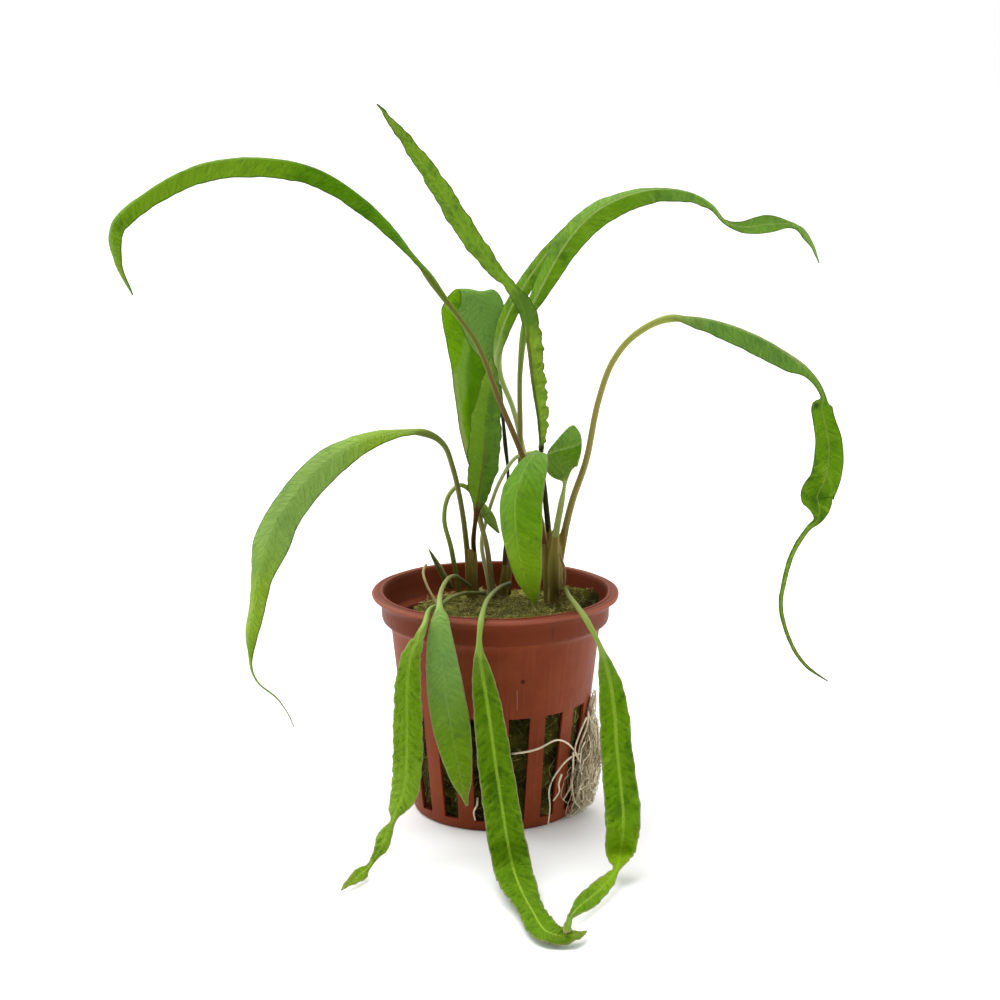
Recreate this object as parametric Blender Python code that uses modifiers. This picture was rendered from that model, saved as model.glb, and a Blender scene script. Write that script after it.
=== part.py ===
"""Potted cryptocoryne: a small aquarium plant in a net pot, packed with rock wool.

Metres, +Z up. The origin is the centre of the pot's underside, and the front of the plant faces -Y.
"""

import math

import bmesh
import bpy
import numpy as np
from mathutils import Vector

MM = 0.001
GAP = 0.3 * MM

# Net pot
POT_HEIGHT = 50 * MM
RIM_RADIUS = 27.5 * MM
COLLAR_RADIUS = 25.5 * MM
COLLAR_FOOT = 43.8 * MM
BODY_TOP_RADIUS = 23.3 * MM
BODY_TOP = 42 * MM
FOOT_RADIUS = 18.4 * MM
POT_WALL = 0.9 * MM
POT_FLOOR = 1.2 * MM
FOOT_CHAMFER = 0.6 * MM
POT_STEPS = 48

# Slots in the pot's wall and in its floor
WALL_SLOTS = 16
FIRST_SLOT = math.radians(14.2)
SLOT_BOTTOM = 2.3 * MM
SLOT_TOP = 26.4 * MM
SLOT_BOTTOM_WIDTH = 3.5 * MM
SLOT_TOP_WIDTH = 4.8 * MM
FLOOR_SLOTS = 8
FLOOR_SLOT_START = 7 * MM
FLOOR_SLOT_END = 14.5 * MM
FLOOR_SLOT_WIDTH = 2.4 * MM

# Rock wool plug, which sits a little to the right of the pot's axis
WOOL_SHIFT = 1.2 * MM
WOOL_FOOT_RADIUS = 16 * MM
WOOL_TOP_RADIUS = 20.6 * MM
WOOL_FOOT = POT_FLOOR + GAP
WOOL_SHOULDER = 44.3 * MM
WOOL_TOP = 45.3 * MM
WOOL_STEPS = 32
FLAP_LEFT = Vector((13, 12, 48)) * MM
FLAP_RIGHT = Vector((23.4, 3, 50.8)) * MM
FLAP_OVERHANG = 1.9 * MM

# Roots outside the lower right wall
ROOTS_TURN = math.radians(69)
ROOTS_HEIGHT = 15.3 * MM
ROOTS_SIZE = Vector((4, 7.5, 13)) * MM
ROOTS_RADIUS = 20 * MM

# Leaf section and the distance between the sections along a leaf
BLADE_THICKNESS = 0.8 * MM
STALK_WIDTH = 1.6 * MM
SECTION_SIDES = 8
SECTION_SPACING = 5 * MM

# Each crown: x, y, z and radius in millimetres, from the wool up
CROWNS = {
    "crown_left": ((-5, 10, 46.2, 2.3), (-5.1, 10.1, 49, 1.9), (-5.2, 10.1, 54, 1.7)),
    "crown_middle": ((0.6, 11, 46.2, 3.3), (0.5, 11, 49.6, 2.8)),
    "crown_right": ((13, 5.3, 47.6, 2.2), (12.9, 5.6, 50, 2.4), (12.8, 5.9, 54.4, 2.2)),
}

# Each leaf: the bearing in degrees that its blade leans toward, then points from the base to the tip.
# A point is x, y, z and width in millimetres, the roll of the blade in degrees, and how far its halves fold down.
LEAVES = {
    "leaf_upper_left": (190, (
        (11.2, 4.9, 55, 1.5, 0, 0),
        (10, 4, 64.5, 1.5, 0, 0),
        (6.5, 1.5, 78, 1.5, 0, 0),
        (1, -1, 92, 1.4, 0, 0),
        (-4, -3, 105, 1.3, 0, 0),
        (-11, -4, 115, 1.6, 10, 5),
        (-17, -5, 123.5, 3.2, 25, 15),
        (-25.5, -7, 134, 6, 38, 35),
        (-36.5, -10, 142, 7.4, 40, 42),
        (-47.5, -13, 144.5, 7.8, 42, 42),
        (-60, -17, 143.5, 7.6, 38, 40),
        (-71, -20, 138, 6.8, 35, 38),
        (-77.5, -22, 131.5, 5.6, 40, 30),
        (-77, -22.5, 124.5, 3, 40, 15),
        (-74, -22.5, 117.5, 0.5, 40, 0),
    )),
    "leaf_left": (212, (
        (-6.2, 9.3, 54.6, 1.5, 0, 0),
        (-7.5, 8, 66, 1.4, 0, 0),
        (-9.5, 6.5, 76, 1.4, 0, 0),
        (-11.5, 5, 81.5, 1.5, 5, 0),
        (-15.5, 2.5, 84.5, 2.2, 15, 8),
        (-25.5, -3, 85, 4.8, 30, 20),
        (-35.5, -9, 80.5, 7.4, 48, 20),
        (-44.5, -14, 71, 8, 45, 20),
        (-47.4, -17.4, 63.3, 9, 36, 22),
        (-49.4, -19, 57.8, 6.6, 26, 22),
        (-50.6, -19.8, 54.3, 5.6, 20, 22),
        (-51.4, -20.6, 49.7, 5.5, 16, 22),
        (-52.5, -21.2, 44.6, 4.7, 10, 25),
        (-52.3, -21.4, 40.9, 2.7, 5, 30),
        (-51.9, -21.3, 37.3, 1.6, 0, 20),
        (-50.5, -20.8, 34.3, 1.7, 0, 10),
        (-48.6, -20.2, 32.4, 2, 0, 5),
        (-46.8, -19.7, 30.7, 1.6, 0, 5),
        (-45.6, -19.4, 28.9, 0.8, 0, 0),
        (-44.3, -19.2, 26.6, 0.6, 0, 0),
        (-43.3, -19, 23.9, 0.3, 0, 0),
    )),
    "leaf_back_folded": (262, (
        (-1, 10.2, 50.2, 1.5, 0, 0),
        (-2, 11, 57, 1.4, 0, 0),
        (-3.6, 12.5, 63.5, 1.5, 0, 0),
        (-4, 16.5, 71.2, 2, -10, 8),
        (-4.1, 17.2, 74.2, 3.9, -10, 10),
        (-4.8, 19.5, 80.6, 6.6, -12, 16),
        (-5.2, 20.6, 86.2, 7.7, -12, 18),
        (-5.4, 21, 91.9, 8.8, -10, 18),
        (-5.5, 21.3, 97.3, 9.8, -8, 16),
        (-5.8, 21.5, 103.2, 11.3, -4, 14),
        (-5.9, 21.5, 107.1, 12.4, -2, 12),
        (-5.9, 21.3, 110.5, 12.9, 0, 18),
        (-5.9, 20.8, 112.4, 11.3, 6, 26),
        (-5.6, 19.6, 113.9, 9.2, 12, 32),
        (-5.2, 18.2, 114.4, 8.5, 15, 34),
        (-4.5, 17, 113.8, 9.4, 15, 30),
        (-3.6, 16.3, 112, 10.7, 10, 20),
        (-2.9, 16, 108.2, 10.5, 6, 8),
        (-2.1, 15.8, 103.7, 8.5, 8, 8),
        (-1, 15.5, 99.7, 4.9, 8, 8),
        (-0.1, 15.3, 96.1, 0.9, 8, 0),
    )),
    "leaf_tall": (150, (
        (12.6, 8.2, 55, 1.5, 0, 0),
        (11, 6, 70, 1.4, 0, 0),
        (10.1, 5, 79.8, 1.2, -40, 0),
        (10.4, 5, 83.4, 2, -72, 5),
        (10.5, 5, 87.4, 2.8, -80, 8),
        (10, 5, 92.3, 3.1, -84, 8),
        (9.3, 5, 97.6, 3.2, -88, 8),
        (8.7, 5, 103.4, 3.5, -94, 8),
        (7.8, 5.2, 108.6, 4.1, -104, 10),
        (5.9, 5.8, 112.9, 3.6, -118, 12),
        (2.7, 7, 116.7, 2.5, -132, 10),
        (-1, 9, 120.7, 3.7, -130, 10),
        (-6.7, 11, 128.4, 4.6, -122, 12),
        (-13.2, 13, 138.7, 4.1, -116, 12),
        (-19.8, 15, 147.7, 2.6, -115, 10),
        (-25.9, 16, 155.2, 0.4, -115, 0),
    )),
    "leaf_upper_right": (28, (
        (2, 10, 50.2, 1.5, 0, 0),
        (2.5, 10, 57.5, 1.5, 0, 0),
        (4.5, 10, 65.5, 1.5, 0, 0),
        (5.5, 10, 75, 1.4, 0, 0),
        (5.5, 10, 84, 1.4, 0, 0),
        (5.5, 10.5, 97.5, 1.4, 0, 0),
        (7, 11.5, 108.5, 2.6, -20, 10),
        (11, 13.5, 117, 5.2, -45, 28),
        (17, 17, 126.5, 7.4, -50, 35),
        (24, 21, 132.5, 7.8, -48, 38),
        (35, 26, 136, 6.4, -42, 40),
        (44.5, 30, 135, 4.8, -42, 38),
        (49.5, 32, 132, 2.6, -60, 30),
        (52.5, 33.5, 128.5, 1.4, -80, 10),
        (57, 35, 127, 3, -90, 10),
        (63, 37, 127.5, 4.4, -90, 15),
        (69.5, 39.5, 127, 2.6, -70, 15),
        (73.5, 41, 123.5, 2.2, -60, 10),
        (76, 42, 118, 0.4, -60, 0),
    )),
    "leaf_ruffled": (265, (
        (-4.2, 11.1, 54.6, 1.4, 0, 0),
        (-4.5, 10.5, 58.5, 1.3, 0, 0),
        (-4, 10, 65, 1.6, 0, 5),
        (-3.5, 9, 71, 5.4, 0, 15),
        (-2.5, 8, 78.5, 7.6, 0, 20),
        (-2, 8, 86.5, 7.2, 0, 20),
        (-1, 8.5, 94, 4.8, 0, 15),
        (-1, 9.5, 100.5, 0.6, 0, 0),
    )),
    "leaf_behind": (40, (
        (13.2, 10.6, 54, 1.3, 0, 0),
        (10, 12, 64, 1.3, 0, 0),
        (7, 13, 75.5, 1.4, 0, 0),
        (4, 13, 88, 1.4, 0, 0),
        (1, 12.8, 96, 1.6, -10, 0),
        (0.5, 12.6, 101, 2.6, -20, 10),
        (2, 13.2, 107.5, 4, -30, 15),
        (5.5, 16, 114, 4, -35, 15),
        (11, 21, 121.5, 3.4, -40, 15),
        (18, 27, 128, 3.2, -40, 15),
        (24, 33, 131.5, 2.8, -35, 15),
        (31.5, 41, 133, 1.8, -30, 10),
        (36.5, 46, 132.5, 0.5, -30, 0),
    )),
    "leaf_right": (345, (
        (14, 5.6, 55, 2, 0, 0),
        (17, 5, 68.5, 1.8, 0, 0),
        (20, 4, 78, 1.7, 0, 0),
        (22.5, 2.5, 91.5, 1.6, 0, 0),
        (25.5, 1, 100.5, 1.6, 0, 0),
        (30, -1, 106.5, 1.7, -5, 0),
        (36.8, -3, 110.3, 2.1, -15, 10),
        (44.5, -5.5, 110, 4.1, -30, 30),
        (54, -8.5, 106.9, 5.4, -38, 38),
        (62, -11, 102.5, 4.6, -45, 36),
        (66.1, -12.6, 99.8, 2.4, -55, 25),
        (68.4, -13.6, 96.8, 1.6, -75, 10),
        (69.2, -14, 93.8, 2.9, -84, 8),
        (69.5, -14.4, 90.7, 4.5, -86, 8),
        (70.3, -14.8, 86.1, 5.7, -86, 10),
        (70.5, -15, 81.8, 6.4, -86, 10),
        (69.8, -15, 77.5, 6.6, -86, 10),
        (68.7, -15, 73.6, 6.6, -86, 8),
        (68.9, -15, 70.8, 4.7, -88, 5),
        (68.5, -14.8, 68.6, 2.1, -88, 5),
        (66.8, -14.6, 67, 1.4, -75, 0),
        (64.6, -14.3, 63.6, 1.5, -60, 0),
        (62.8, -14, 59, 1.4, -60, 0),
        (61.9, -13.8, 54.3, 1.3, -60, 0),
        (61.4, -13.6, 50, 1.2, -60, 0),
        (62.3, -13.5, 45.5, 1.1, -60, 0),
        (64.1, -13.5, 40.8, 1, -60, 0),
        (67.3, -13.7, 36.2, 0.9, -60, 0),
        (72.1, -14, 32.8, 0.3, -60, 0),
    )),
    "leaf_front_cupped": (262, (
        (13.1, 3, 56.5, 1.6, 0, 0),
        (13.5, 2.5, 62.5, 1.5, 0, 0),
        (14.5, 2.5, 68.5, 1.4, 0, 0),
        (15.3, 2.6, 73.8, 1.3, 0, 0),
        (14.9, 2.5, 74.8, 2.6, 0, -4),
        (14.1, 2.4, 75.9, 5.5, 0, -8),
        (14.3, 2.6, 77.5, 6.8, 0, -10),
        (15.1, 3.1, 79, 6.8, 0, -10),
        (15.9, 3.7, 80.7, 6.3, 0, -8),
        (16.4, 4.4, 82.3, 5.4, 0, -4),
        (16.8, 5.2, 83.6, 4.4, 0, 0),
        (17, 6, 84.6, 2.9, 0, 0),
        (17.2, 6.6, 85.5, 0.9, 0, 0),
    )),
    "leaf_front_hanging": (262, (
        (-2, 12.6, 50.2, 1.6, 0, 0),
        (-3.2, 14, 57, 1.6, 0, 0),
        (-2.2, 14.8, 62, 1.5, 0, 0),
        (-0.8, 13, 67, 1.4, 0, 0),
        (0.8, 9, 72, 1.4, 0, 0),
        (3.6, 6.2, 77.4, 1.4, 0, 0),
        (5.2, 5, 79, 1.4, 0, 0),
        (7.3, 3.6, 79.8, 1.4, 0, 0),
        (8.8, -0.4, 80.7, 1.8, -8, 5),
        (8.4, -4.6, 81, 6, -14, 12),
        (7.2, -7.5, 79.8, 9, -20, 18),
        (5.6, -11, 76.9, 10.6, -22, 20),
        (4.6, -13.2, 72.8, 11.2, -22, 22),
        (4.7, -14.4, 66.7, 10.9, -22, 22),
        (5.5, -14.6, 61.1, 9.3, -22, 20),
        (6.7, -14.2, 55.3, 6.8, -22, 18),
        (8.1, -13.6, 51.3, 3.2, -22, 12),
        (9, -13, 48.6, 0.4, -20, 0),
    )),
    "leaf_rim_short": (262, (
        (-5.8, 6.6, 48.8, 1.3, 0, 0),
        (-8.6, 3.2, 51.8, 1.2, 0, 0),
        (-10.2, -2.5, 53, 1.2, 0, 0),
        (-11.4, -9.8, 52.8, 1.3, 0, 0),
        (-11.8, -16.8, 52.4, 1.5, 0, 0),
        (-11.7, -23.5, 52, 1.9, 0, 0),
        (-11.5, -28, 51, 3.6, 0, 6),
        (-11.5, -31, 47, 5.6, 0, 10),
        (-10.5, -32, 37, 7.8, 5, 10),
        (-9, -31, 26.5, 8, 5, 10),
        (-7.5, -29, 17, 5.4, 5, 10),
        (-6, -28, 9.5, 0.8, 5, 0),
    )),
    "leaf_trailing_left": (243, (
        (-2.4, 5.5, 47.4, 1.3, 0, 0),
        (-3.9, 3.5, 48, 1.2, 0, 0),
        (-6.8, -0.5, 49, 1.2, 0, 0),
        (-9.5, -7.6, 50, 1.2, 0, 0),
        (-11.6, -15.8, 50.6, 1.2, 0, 0),
        (-13.9, -23.6, 51.2, 1.4, 0, 0),
        (-14.7, -29.5, 49.5, 1.9, 0, 4),
        (-15.8, -31.6, 47.7, 3, -5, 8),
        (-17.4, -33, 44.2, 4.6, 0, 10),
        (-18.1, -33.8, 39.5, 5.8, 5, 10),
        (-18.3, -34.6, 33.3, 6.6, 5, 10),
        (-18.3, -35.5, 26.3, 7, 5, 10),
        (-18.5, -36.3, 20, 6.8, 5, 10),
        (-19.2, -37, 15.2, 6.2, 5, 10),
        (-20.6, -37.8, 12.2, 3.9, 5, 10),
        (-21.2, -38.8, 10.2, 1.7, 15, 5),
        (-22.5, -40.2, 8.1, 3.1, 30, 8),
        (-23.5, -42, 5.8, 3.3, 15, 8),
        (-25.3, -41.2, 2.6, 1.4, 0, 5),
        (-26, -42.5, 1.7, 1.2, 0, 0),
        (-27.3, -45.2, 1.6, 2.6, 0, 0),
        (-29, -49, 1.4, 1.9, 0, 0),
        (-30.1, -51.1, 1.1, 1.2, 0, 0),
        (-31, -53.2, 0.9, 0.4, 0, 0),
    )),
    "leaf_trailing_middle": (274, (
        (3.2, 7, 49.4, 1.4, 0, 0),
        (1, 1, 50, 1.3, 0, 0),
        (-1.5, -12, 50.8, 1.4, 0, 0),
        (-2.5, -23.5, 51.2, 1.5, 0, 0),
        (-3, -29.5, 50, 1.8, 0, 0),
        (-3.3, -31.5, 47, 1.6, 0, 5),
        (-3.1, -32.2, 42.9, 3.2, 5, 10),
        (-2.1, -33.5, 36.9, 5.4, 5, 10),
        (-1, -35.8, 30, 6.6, 5, 10),
        (0.1, -38.8, 22.4, 7.4, 5, 10),
        (1.2, -42, 16, 7.8, 5, 10),
        (2.4, -46.5, 9.5, 8, 5, 10),
        (3.5, -48.4, 4.4, 8, 0, 8),
        (4.7, -55.4, 3.2, 7.6, 0, 5),
        (6.1, -61.4, 2.3, 6.5, 8, 4),
        (7.4, -65.9, 1.7, 5.7, 10, 0),
        (8.5, -71.2, 1.5, 5.8, 10, 0),
        (10, -75.6, 1.5, 5, 15, 0),
        (12, -77, 1.3, 3.6, 15, 0),
        (14.5, -77.2, 1.2, 2.9, 10, 0),
        (16.2, -76.3, 1, 2.1, 0, 0),
        (17.6, -74.7, 0.9, 0.5, 0, 0),
    )),
    "leaf_trailing_right": (282, (
        (14.4, 2.6, 49.2, 1.4, 0, 0),
        (15.4, -1, 50, 1.3, 0, 0),
        (16, -11, 51, 1.4, 0, 0),
        (17.3, -20.5, 51.3, 1.5, 0, 0),
        (19, -26, 50, 1.8, 0, 0),
        (21.7, -30, 45.5, 1.5, 0, 5),
        (22.8, -31, 42.2, 3.1, -5, 10),
        (23.9, -32.6, 37.9, 5, -5, 10),
        (24.8, -34, 31.6, 6.4, -5, 10),
        (25.2, -36.6, 24.9, 6.8, -5, 10),
        (25.9, -39.3, 18.2, 7.3, -5, 10),
        (26.3, -42, 13.4, 7.6, -5, 10),
        (26.2, -44.3, 9.9, 7.2, -5, 10),
        (25.9, -42.7, 5.8, 6.6, -8, 8),
        (25.3, -46.2, 4.6, 4.5, -15, 5),
        (24.7, -49.8, 3.8, 1.5, -35, 0),
        (23.2, -53.8, 3.4, 2.8, -60, 5),
        (20.9, -58.3, 3.1, 3.2, -60, 5),
        (18.3, -62.8, 2.8, 3.1, -60, 5),
        (16, -66.3, 2.6, 2.1, -50, 0),
        (14.7, -69.7, 2.5, 1.3, -30, 0),
        (14.1, -74.4, 3.1, 1.8, -20, 0),
        (13.6, -78.1, 3.4, 2.1, -10, 0),
        (13.2, -80.1, 3.4, 0.6, 0, 0),
    )),
    "leaf_looped": (100, (
        (-8.3, 9.9, 46.8, 1.4, 0, 0),
        (-10, 7.5, 57.5, 1.3, 0, 0),
        (-11.5, 8, 64, 1.2, 0, 0),
        (-10.5, 9.5, 69, 1.2, 0, 0),
        (-8, 11.5, 71, 1.2, 0, 0),
        (-6, 12.2, 70, 1.4, 0, 0),
        (-3.3, 12, 66.5, 2, 0, 8),
        (-1.2, 11.6, 63, 3, 20, 10),
        (0.8, 11.2, 60, 0.6, 20, 0),
    )),
    "leaf_withered": (95, (
        (3, 12.4, 51, 1.1, 0, 0),
        (3.1, 13.2, 58, 1, 0, 0),
        (2.8, 13.8, 69.4, 0.8, 0, 0),
        (2.8, 14, 74, 0.7, 0, 0),
        (2.2, 14.3, 79.7, 1, 0, 0),
        (1.8, 14.6, 84.2, 0.8, 0, 0),
        (1.4, 14.8, 88.7, 0.9, 0, 0),
        (1.1, 15, 93.5, 0.4, 0, 0),
    )),
    "shoot_small": (170, (
        (-10.2, 10.5, 47.4, 1.6, 0, 0),
        (-11.8, 10, 50.5, 2.6, 0, 10),
        (-13.5, 9, 54, 2, 0, 10),
        (-15, 8, 57, 0.4, 0, 0),
    )),
}

TERRACOTTA = (0.27, 0.075, 0.035)
WOOL_GREEN = (0.11, 0.11, 0.035)
CROWN_BROWN = (0.19, 0.11, 0.04)
LEAF_GREEN = (0.12, 0.28, 0.025)
WITHERED_BLACK = (0.015, 0.02, 0.008)
ROOT_CREAM = (0.62, 0.5, 0.3)


def clear_scene():
    for obj in list(bpy.data.objects):
        bpy.data.objects.remove(obj)


def new_collection(name):
    collection = bpy.data.collections.new(name)
    bpy.context.scene.collection.children.link(collection)
    return collection


def new_material(name, color, roughness):
    material = bpy.data.materials.new(name)
    material.use_nodes = True
    shader = material.node_tree.nodes["Principled BSDF"]
    shader.inputs["Base Color"].default_value = (*color, 1)
    shader.inputs["Roughness"].default_value = roughness
    return material


def new_object(name, collection, mesh, material=None):
    obj = bpy.data.objects.new(name, mesh)
    collection.objects.link(obj)
    if material:
        mesh.materials.append(material)
    return obj


def hide_cutter(obj):
    obj.hide_render = True
    obj.display_type = "WIRE"


def shade_round(obj, angle):
    obj.data.shade_smooth()
    obj.data.set_sharp_from_angle(angle=math.radians(angle))


def cut(obj, name, cutter):
    boolean = obj.modifiers.new(name, "BOOLEAN")
    boolean.operation = "DIFFERENCE"
    boolean.object = cutter


def turned(name, collection, profile, steps, material=None):
    """A profile of (radius, height) pairs, turned about the Z axis."""
    mesh = bpy.data.meshes.new(name)
    edges = [(i, i + 1) for i in range(len(profile) - 1)]
    mesh.from_pydata([(radius, 0, height) for radius, height in profile], edges, [])
    obj = new_object(name, collection, mesh, material)
    screw = obj.modifiers.new("turn", "SCREW")
    screw.steps = steps
    screw.render_steps = steps
    screw.use_merge_vertices = True
    screw.merge_threshold = 0.00001
    return obj


def body_radius(height):
    """Outer radius of the pot's tapered body at a height."""
    return FOOT_RADIUS + (BODY_TOP_RADIUS - FOOT_RADIUS) * height / BODY_TOP


def pot_profile():
    """From the middle of the floor, up the inside, over the rim and down the outside."""
    inner_collar = COLLAR_RADIUS - POT_WALL
    return [
        (0, POT_FLOOR),
        (body_radius(POT_FLOOR) - POT_WALL, POT_FLOOR),
        (BODY_TOP_RADIUS - POT_WALL, BODY_TOP + 0.6 * MM),
        (inner_collar - 0.1 * MM, BODY_TOP + 1.4 * MM),
        (inner_collar + 0.3 * MM, POT_HEIGHT - 0.5 * MM),
        (inner_collar + 0.8 * MM, POT_HEIGHT),
        (RIM_RADIUS - 0.6 * MM, POT_HEIGHT - 0.2 * MM),
        (RIM_RADIUS, POT_HEIGHT - 0.7 * MM),
        (RIM_RADIUS - 0.4 * MM, POT_HEIGHT - 1.2 * MM),
        (COLLAR_RADIUS, POT_HEIGHT - 2.7 * MM),
        (COLLAR_RADIUS - 0.2 * MM, COLLAR_FOOT),
        (BODY_TOP_RADIUS, BODY_TOP),
        (body_radius(FOOT_CHAMFER), FOOT_CHAMFER),
        (FOOT_RADIUS - FOOT_CHAMFER, 0),
        (0, 0),
    ]


def add_slot(bm, turn, near, far, bottom, top, bottom_width, top_width):
    """A block that reaches out from the axis, as wide as the slot at its bottom and at its top."""
    block = bmesh.ops.create_cube(bm, size=1)["verts"]
    out = Vector((math.sin(turn), -math.cos(turn), 0))
    across = Vector((math.cos(turn), math.sin(turn), 0))
    for vert in block:
        at_top = vert.co.z > 0
        width = top_width if at_top else bottom_width
        reach = far if vert.co.x > 0 else near
        height = top if at_top else bottom
        side = width / 2 if vert.co.y > 0 else -width / 2
        vert.co = out * reach + across * side + Vector((0, 0, height))


def slot_cutter(collection):
    bm = bmesh.new()
    for index in range(WALL_SLOTS):
        turn = FIRST_SLOT + index * math.tau / WALL_SLOTS
        near, far = FOOT_RADIUS - 2.5 * MM, BODY_TOP_RADIUS + 1 * MM
        add_slot(bm, turn, near, far, SLOT_BOTTOM, SLOT_TOP, SLOT_BOTTOM_WIDTH, SLOT_TOP_WIDTH)
    for index in range(FLOOR_SLOTS):
        turn = index * math.tau / FLOOR_SLOTS
        low, high = -1 * MM, POT_FLOOR + 1 * MM
        width = FLOOR_SLOT_WIDTH
        add_slot(bm, turn, FLOOR_SLOT_START, FLOOR_SLOT_END, low, high, width, width)
    bmesh.ops.recalc_face_normals(bm, faces=bm.faces)
    mesh = bpy.data.meshes.new("slots")
    bm.to_mesh(mesh)
    bm.free()
    cutter = new_object("slots", collection, mesh)
    hide_cutter(cutter)
    return cutter


def build_pot(parts, cutters):
    material = new_material("terracotta_plastic", TERRACOTTA, 0.55)
    pot = turned("net_pot", parts, pot_profile(), POT_STEPS, material)
    cut(pot, "cut slots", slot_cutter(cutters))
    shade_round(pot, 35)


def wool_rise(x, y):
    """How far the wool's top stands over its level: highest along the flap's edge, steep behind it."""
    along = (FLAP_RIGHT - FLAP_LEFT).to_2d()
    length = along.length
    along.normalize()
    behind = Vector((-along.y, along.x))
    offset = Vector((x, y)) - FLAP_LEFT.to_2d()
    place = offset.dot(along) / length
    distance = offset.dot(behind)
    edge = FLAP_LEFT.z + (FLAP_RIGHT.z - FLAP_LEFT.z) * min(max(place, 0), 1) - WOOL_TOP
    slope = (3 + 6 * min(max(place, 0), 1)) * MM if distance < 0 else 2 * MM
    fade = min(max(1 + 3 * min(place, 0), 0), 1)
    mound = 0.9 * MM * math.exp(-(((y + 16 * MM) / (6 * MM)) ** 2))
    return edge * fade * max(0, 1 - abs(distance) / slope) + mound


def build_wool(parts):
    material = new_material("rock_wool", WOOL_GREEN, 0.95)
    shoulder = WOOL_TOP_RADIUS - 0.2 * MM
    rings = [(share * shoulder, WOOL_TOP) for share in (0, 0.2, 0.4, 0.56, 0.7, 0.82, 0.92)]
    profile = rings + [
        (shoulder, WOOL_TOP - 0.4 * MM),
        (WOOL_TOP_RADIUS, WOOL_SHOULDER),
        (WOOL_TOP_RADIUS - 0.2 * MM, BODY_TOP + 0.4 * MM),
        (WOOL_FOOT_RADIUS, WOOL_FOOT),
        (0, WOOL_FOOT),
    ]
    guide = turned("wool_guide", parts, profile, WOOL_STEPS)
    graph = bpy.context.evaluated_depsgraph_get()
    mesh = bpy.data.meshes.new_from_object(guide.evaluated_get(graph))
    bpy.data.objects.remove(guide)
    for vert in mesh.vertices:
        turn = math.atan2(vert.co.y, vert.co.x)
        if vert.co.z > WOOL_SHOULDER - 0.1 * MM:
            reach = vert.co.to_2d().length / WOOL_TOP_RADIUS
            swell = reach**4 * FLAP_OVERHANG * math.exp(-(((turn - 0.15) / 0.4) ** 2))
            vert.co.x += swell * math.cos(turn)
            vert.co.y += swell * math.sin(turn)
        vert.co.x += WOOL_SHIFT
        if vert.co.z > WOOL_SHOULDER + 0.1 * MM:
            vert.co.z += wool_rise(vert.co.x, vert.co.y)
    mesh.shade_smooth()
    new_object("rock_wool", parts, mesh, material)


def build_crown(name, points, parts, material):
    """A stub of joined leaf bases, as a tube that tapers upward."""
    curve = bpy.data.curves.new(name, "CURVE")
    curve.dimensions = "3D"
    curve.bevel_depth = 1
    curve.bevel_resolution = 2
    curve.use_fill_caps = True
    spline = curve.splines.new("POLY")
    spline.points.add(len(points) - 1)
    for point, (x, y, z, radius) in zip(spline.points, points):
        point.co = (x * MM, y * MM, z * MM, 1)
        point.radius = radius * MM
    curve.materials.append(material)
    obj = bpy.data.objects.new(name, curve)
    parts.objects.link(obj)


def smooth_rows(rows, spacing):
    """Rows every so many millimetres on a smooth curve through the given rows."""
    rows = np.array(rows, float)
    steps = np.linalg.norm(np.diff(rows[:, :3], axis=0), axis=1)
    times = np.concatenate([[0], np.cumsum(np.sqrt(steps))])
    gaps = np.diff(times)[:, None]
    rates = np.diff(rows, axis=0) / gaps
    slopes = np.vstack([rates[:1], rates])
    slopes[1:-1] = (rates[:-1] * gaps[1:] + rates[1:] * gaps[:-1]) / (gaps[1:] + gaps[:-1])
    count = max(6, round(steps.sum() / spacing)) + 1
    result = []
    for time in np.interp(np.linspace(0, steps.sum(), count), np.concatenate([[0], np.cumsum(steps)]), times):
        index = min(np.searchsorted(times, time, side="right") - 1, len(rows) - 2)
        gap = times[index + 1] - times[index]
        s = (time - times[index]) / gap
        start = (2 * s**3 - 3 * s**2 + 1) * rows[index] + (s**3 - 2 * s**2 + s) * gap * slopes[index]
        end = (3 * s**2 - 2 * s**3) * rows[index + 1] + (s**3 - s**2) * gap * slopes[index + 1]
        result.append(start + end)
    return np.array(result)


def section(middle, tangent, lean, width, roll, fold):
    """The points round a leaf at one place: round on the stalk, a thin folded lens on the blade."""
    side = (lean - lean.dot(tangent) * tangent).normalized()
    upper = side.cross(tangent)
    side, upper = (
        side * math.cos(roll) + upper * math.sin(roll),
        upper * math.cos(roll) - side * math.sin(roll),
    )
    taper = 0.95 * STALK_WIDTH - 0.25 * (width - STALK_WIDTH)
    thickness = min(0.95 * width, max(BLADE_THICKNESS, taper))
    points = []
    for corner in range(SECTION_SIDES):
        turn = corner * math.tau / SECTION_SIDES
        out = math.cos(turn) * width / 2
        drop = abs(out) * math.sin(fold)
        rise = math.sin(turn) * thickness / 2 - drop
        points.append(middle + side * out * math.cos(fold) + upper * rise)
    return points


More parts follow.
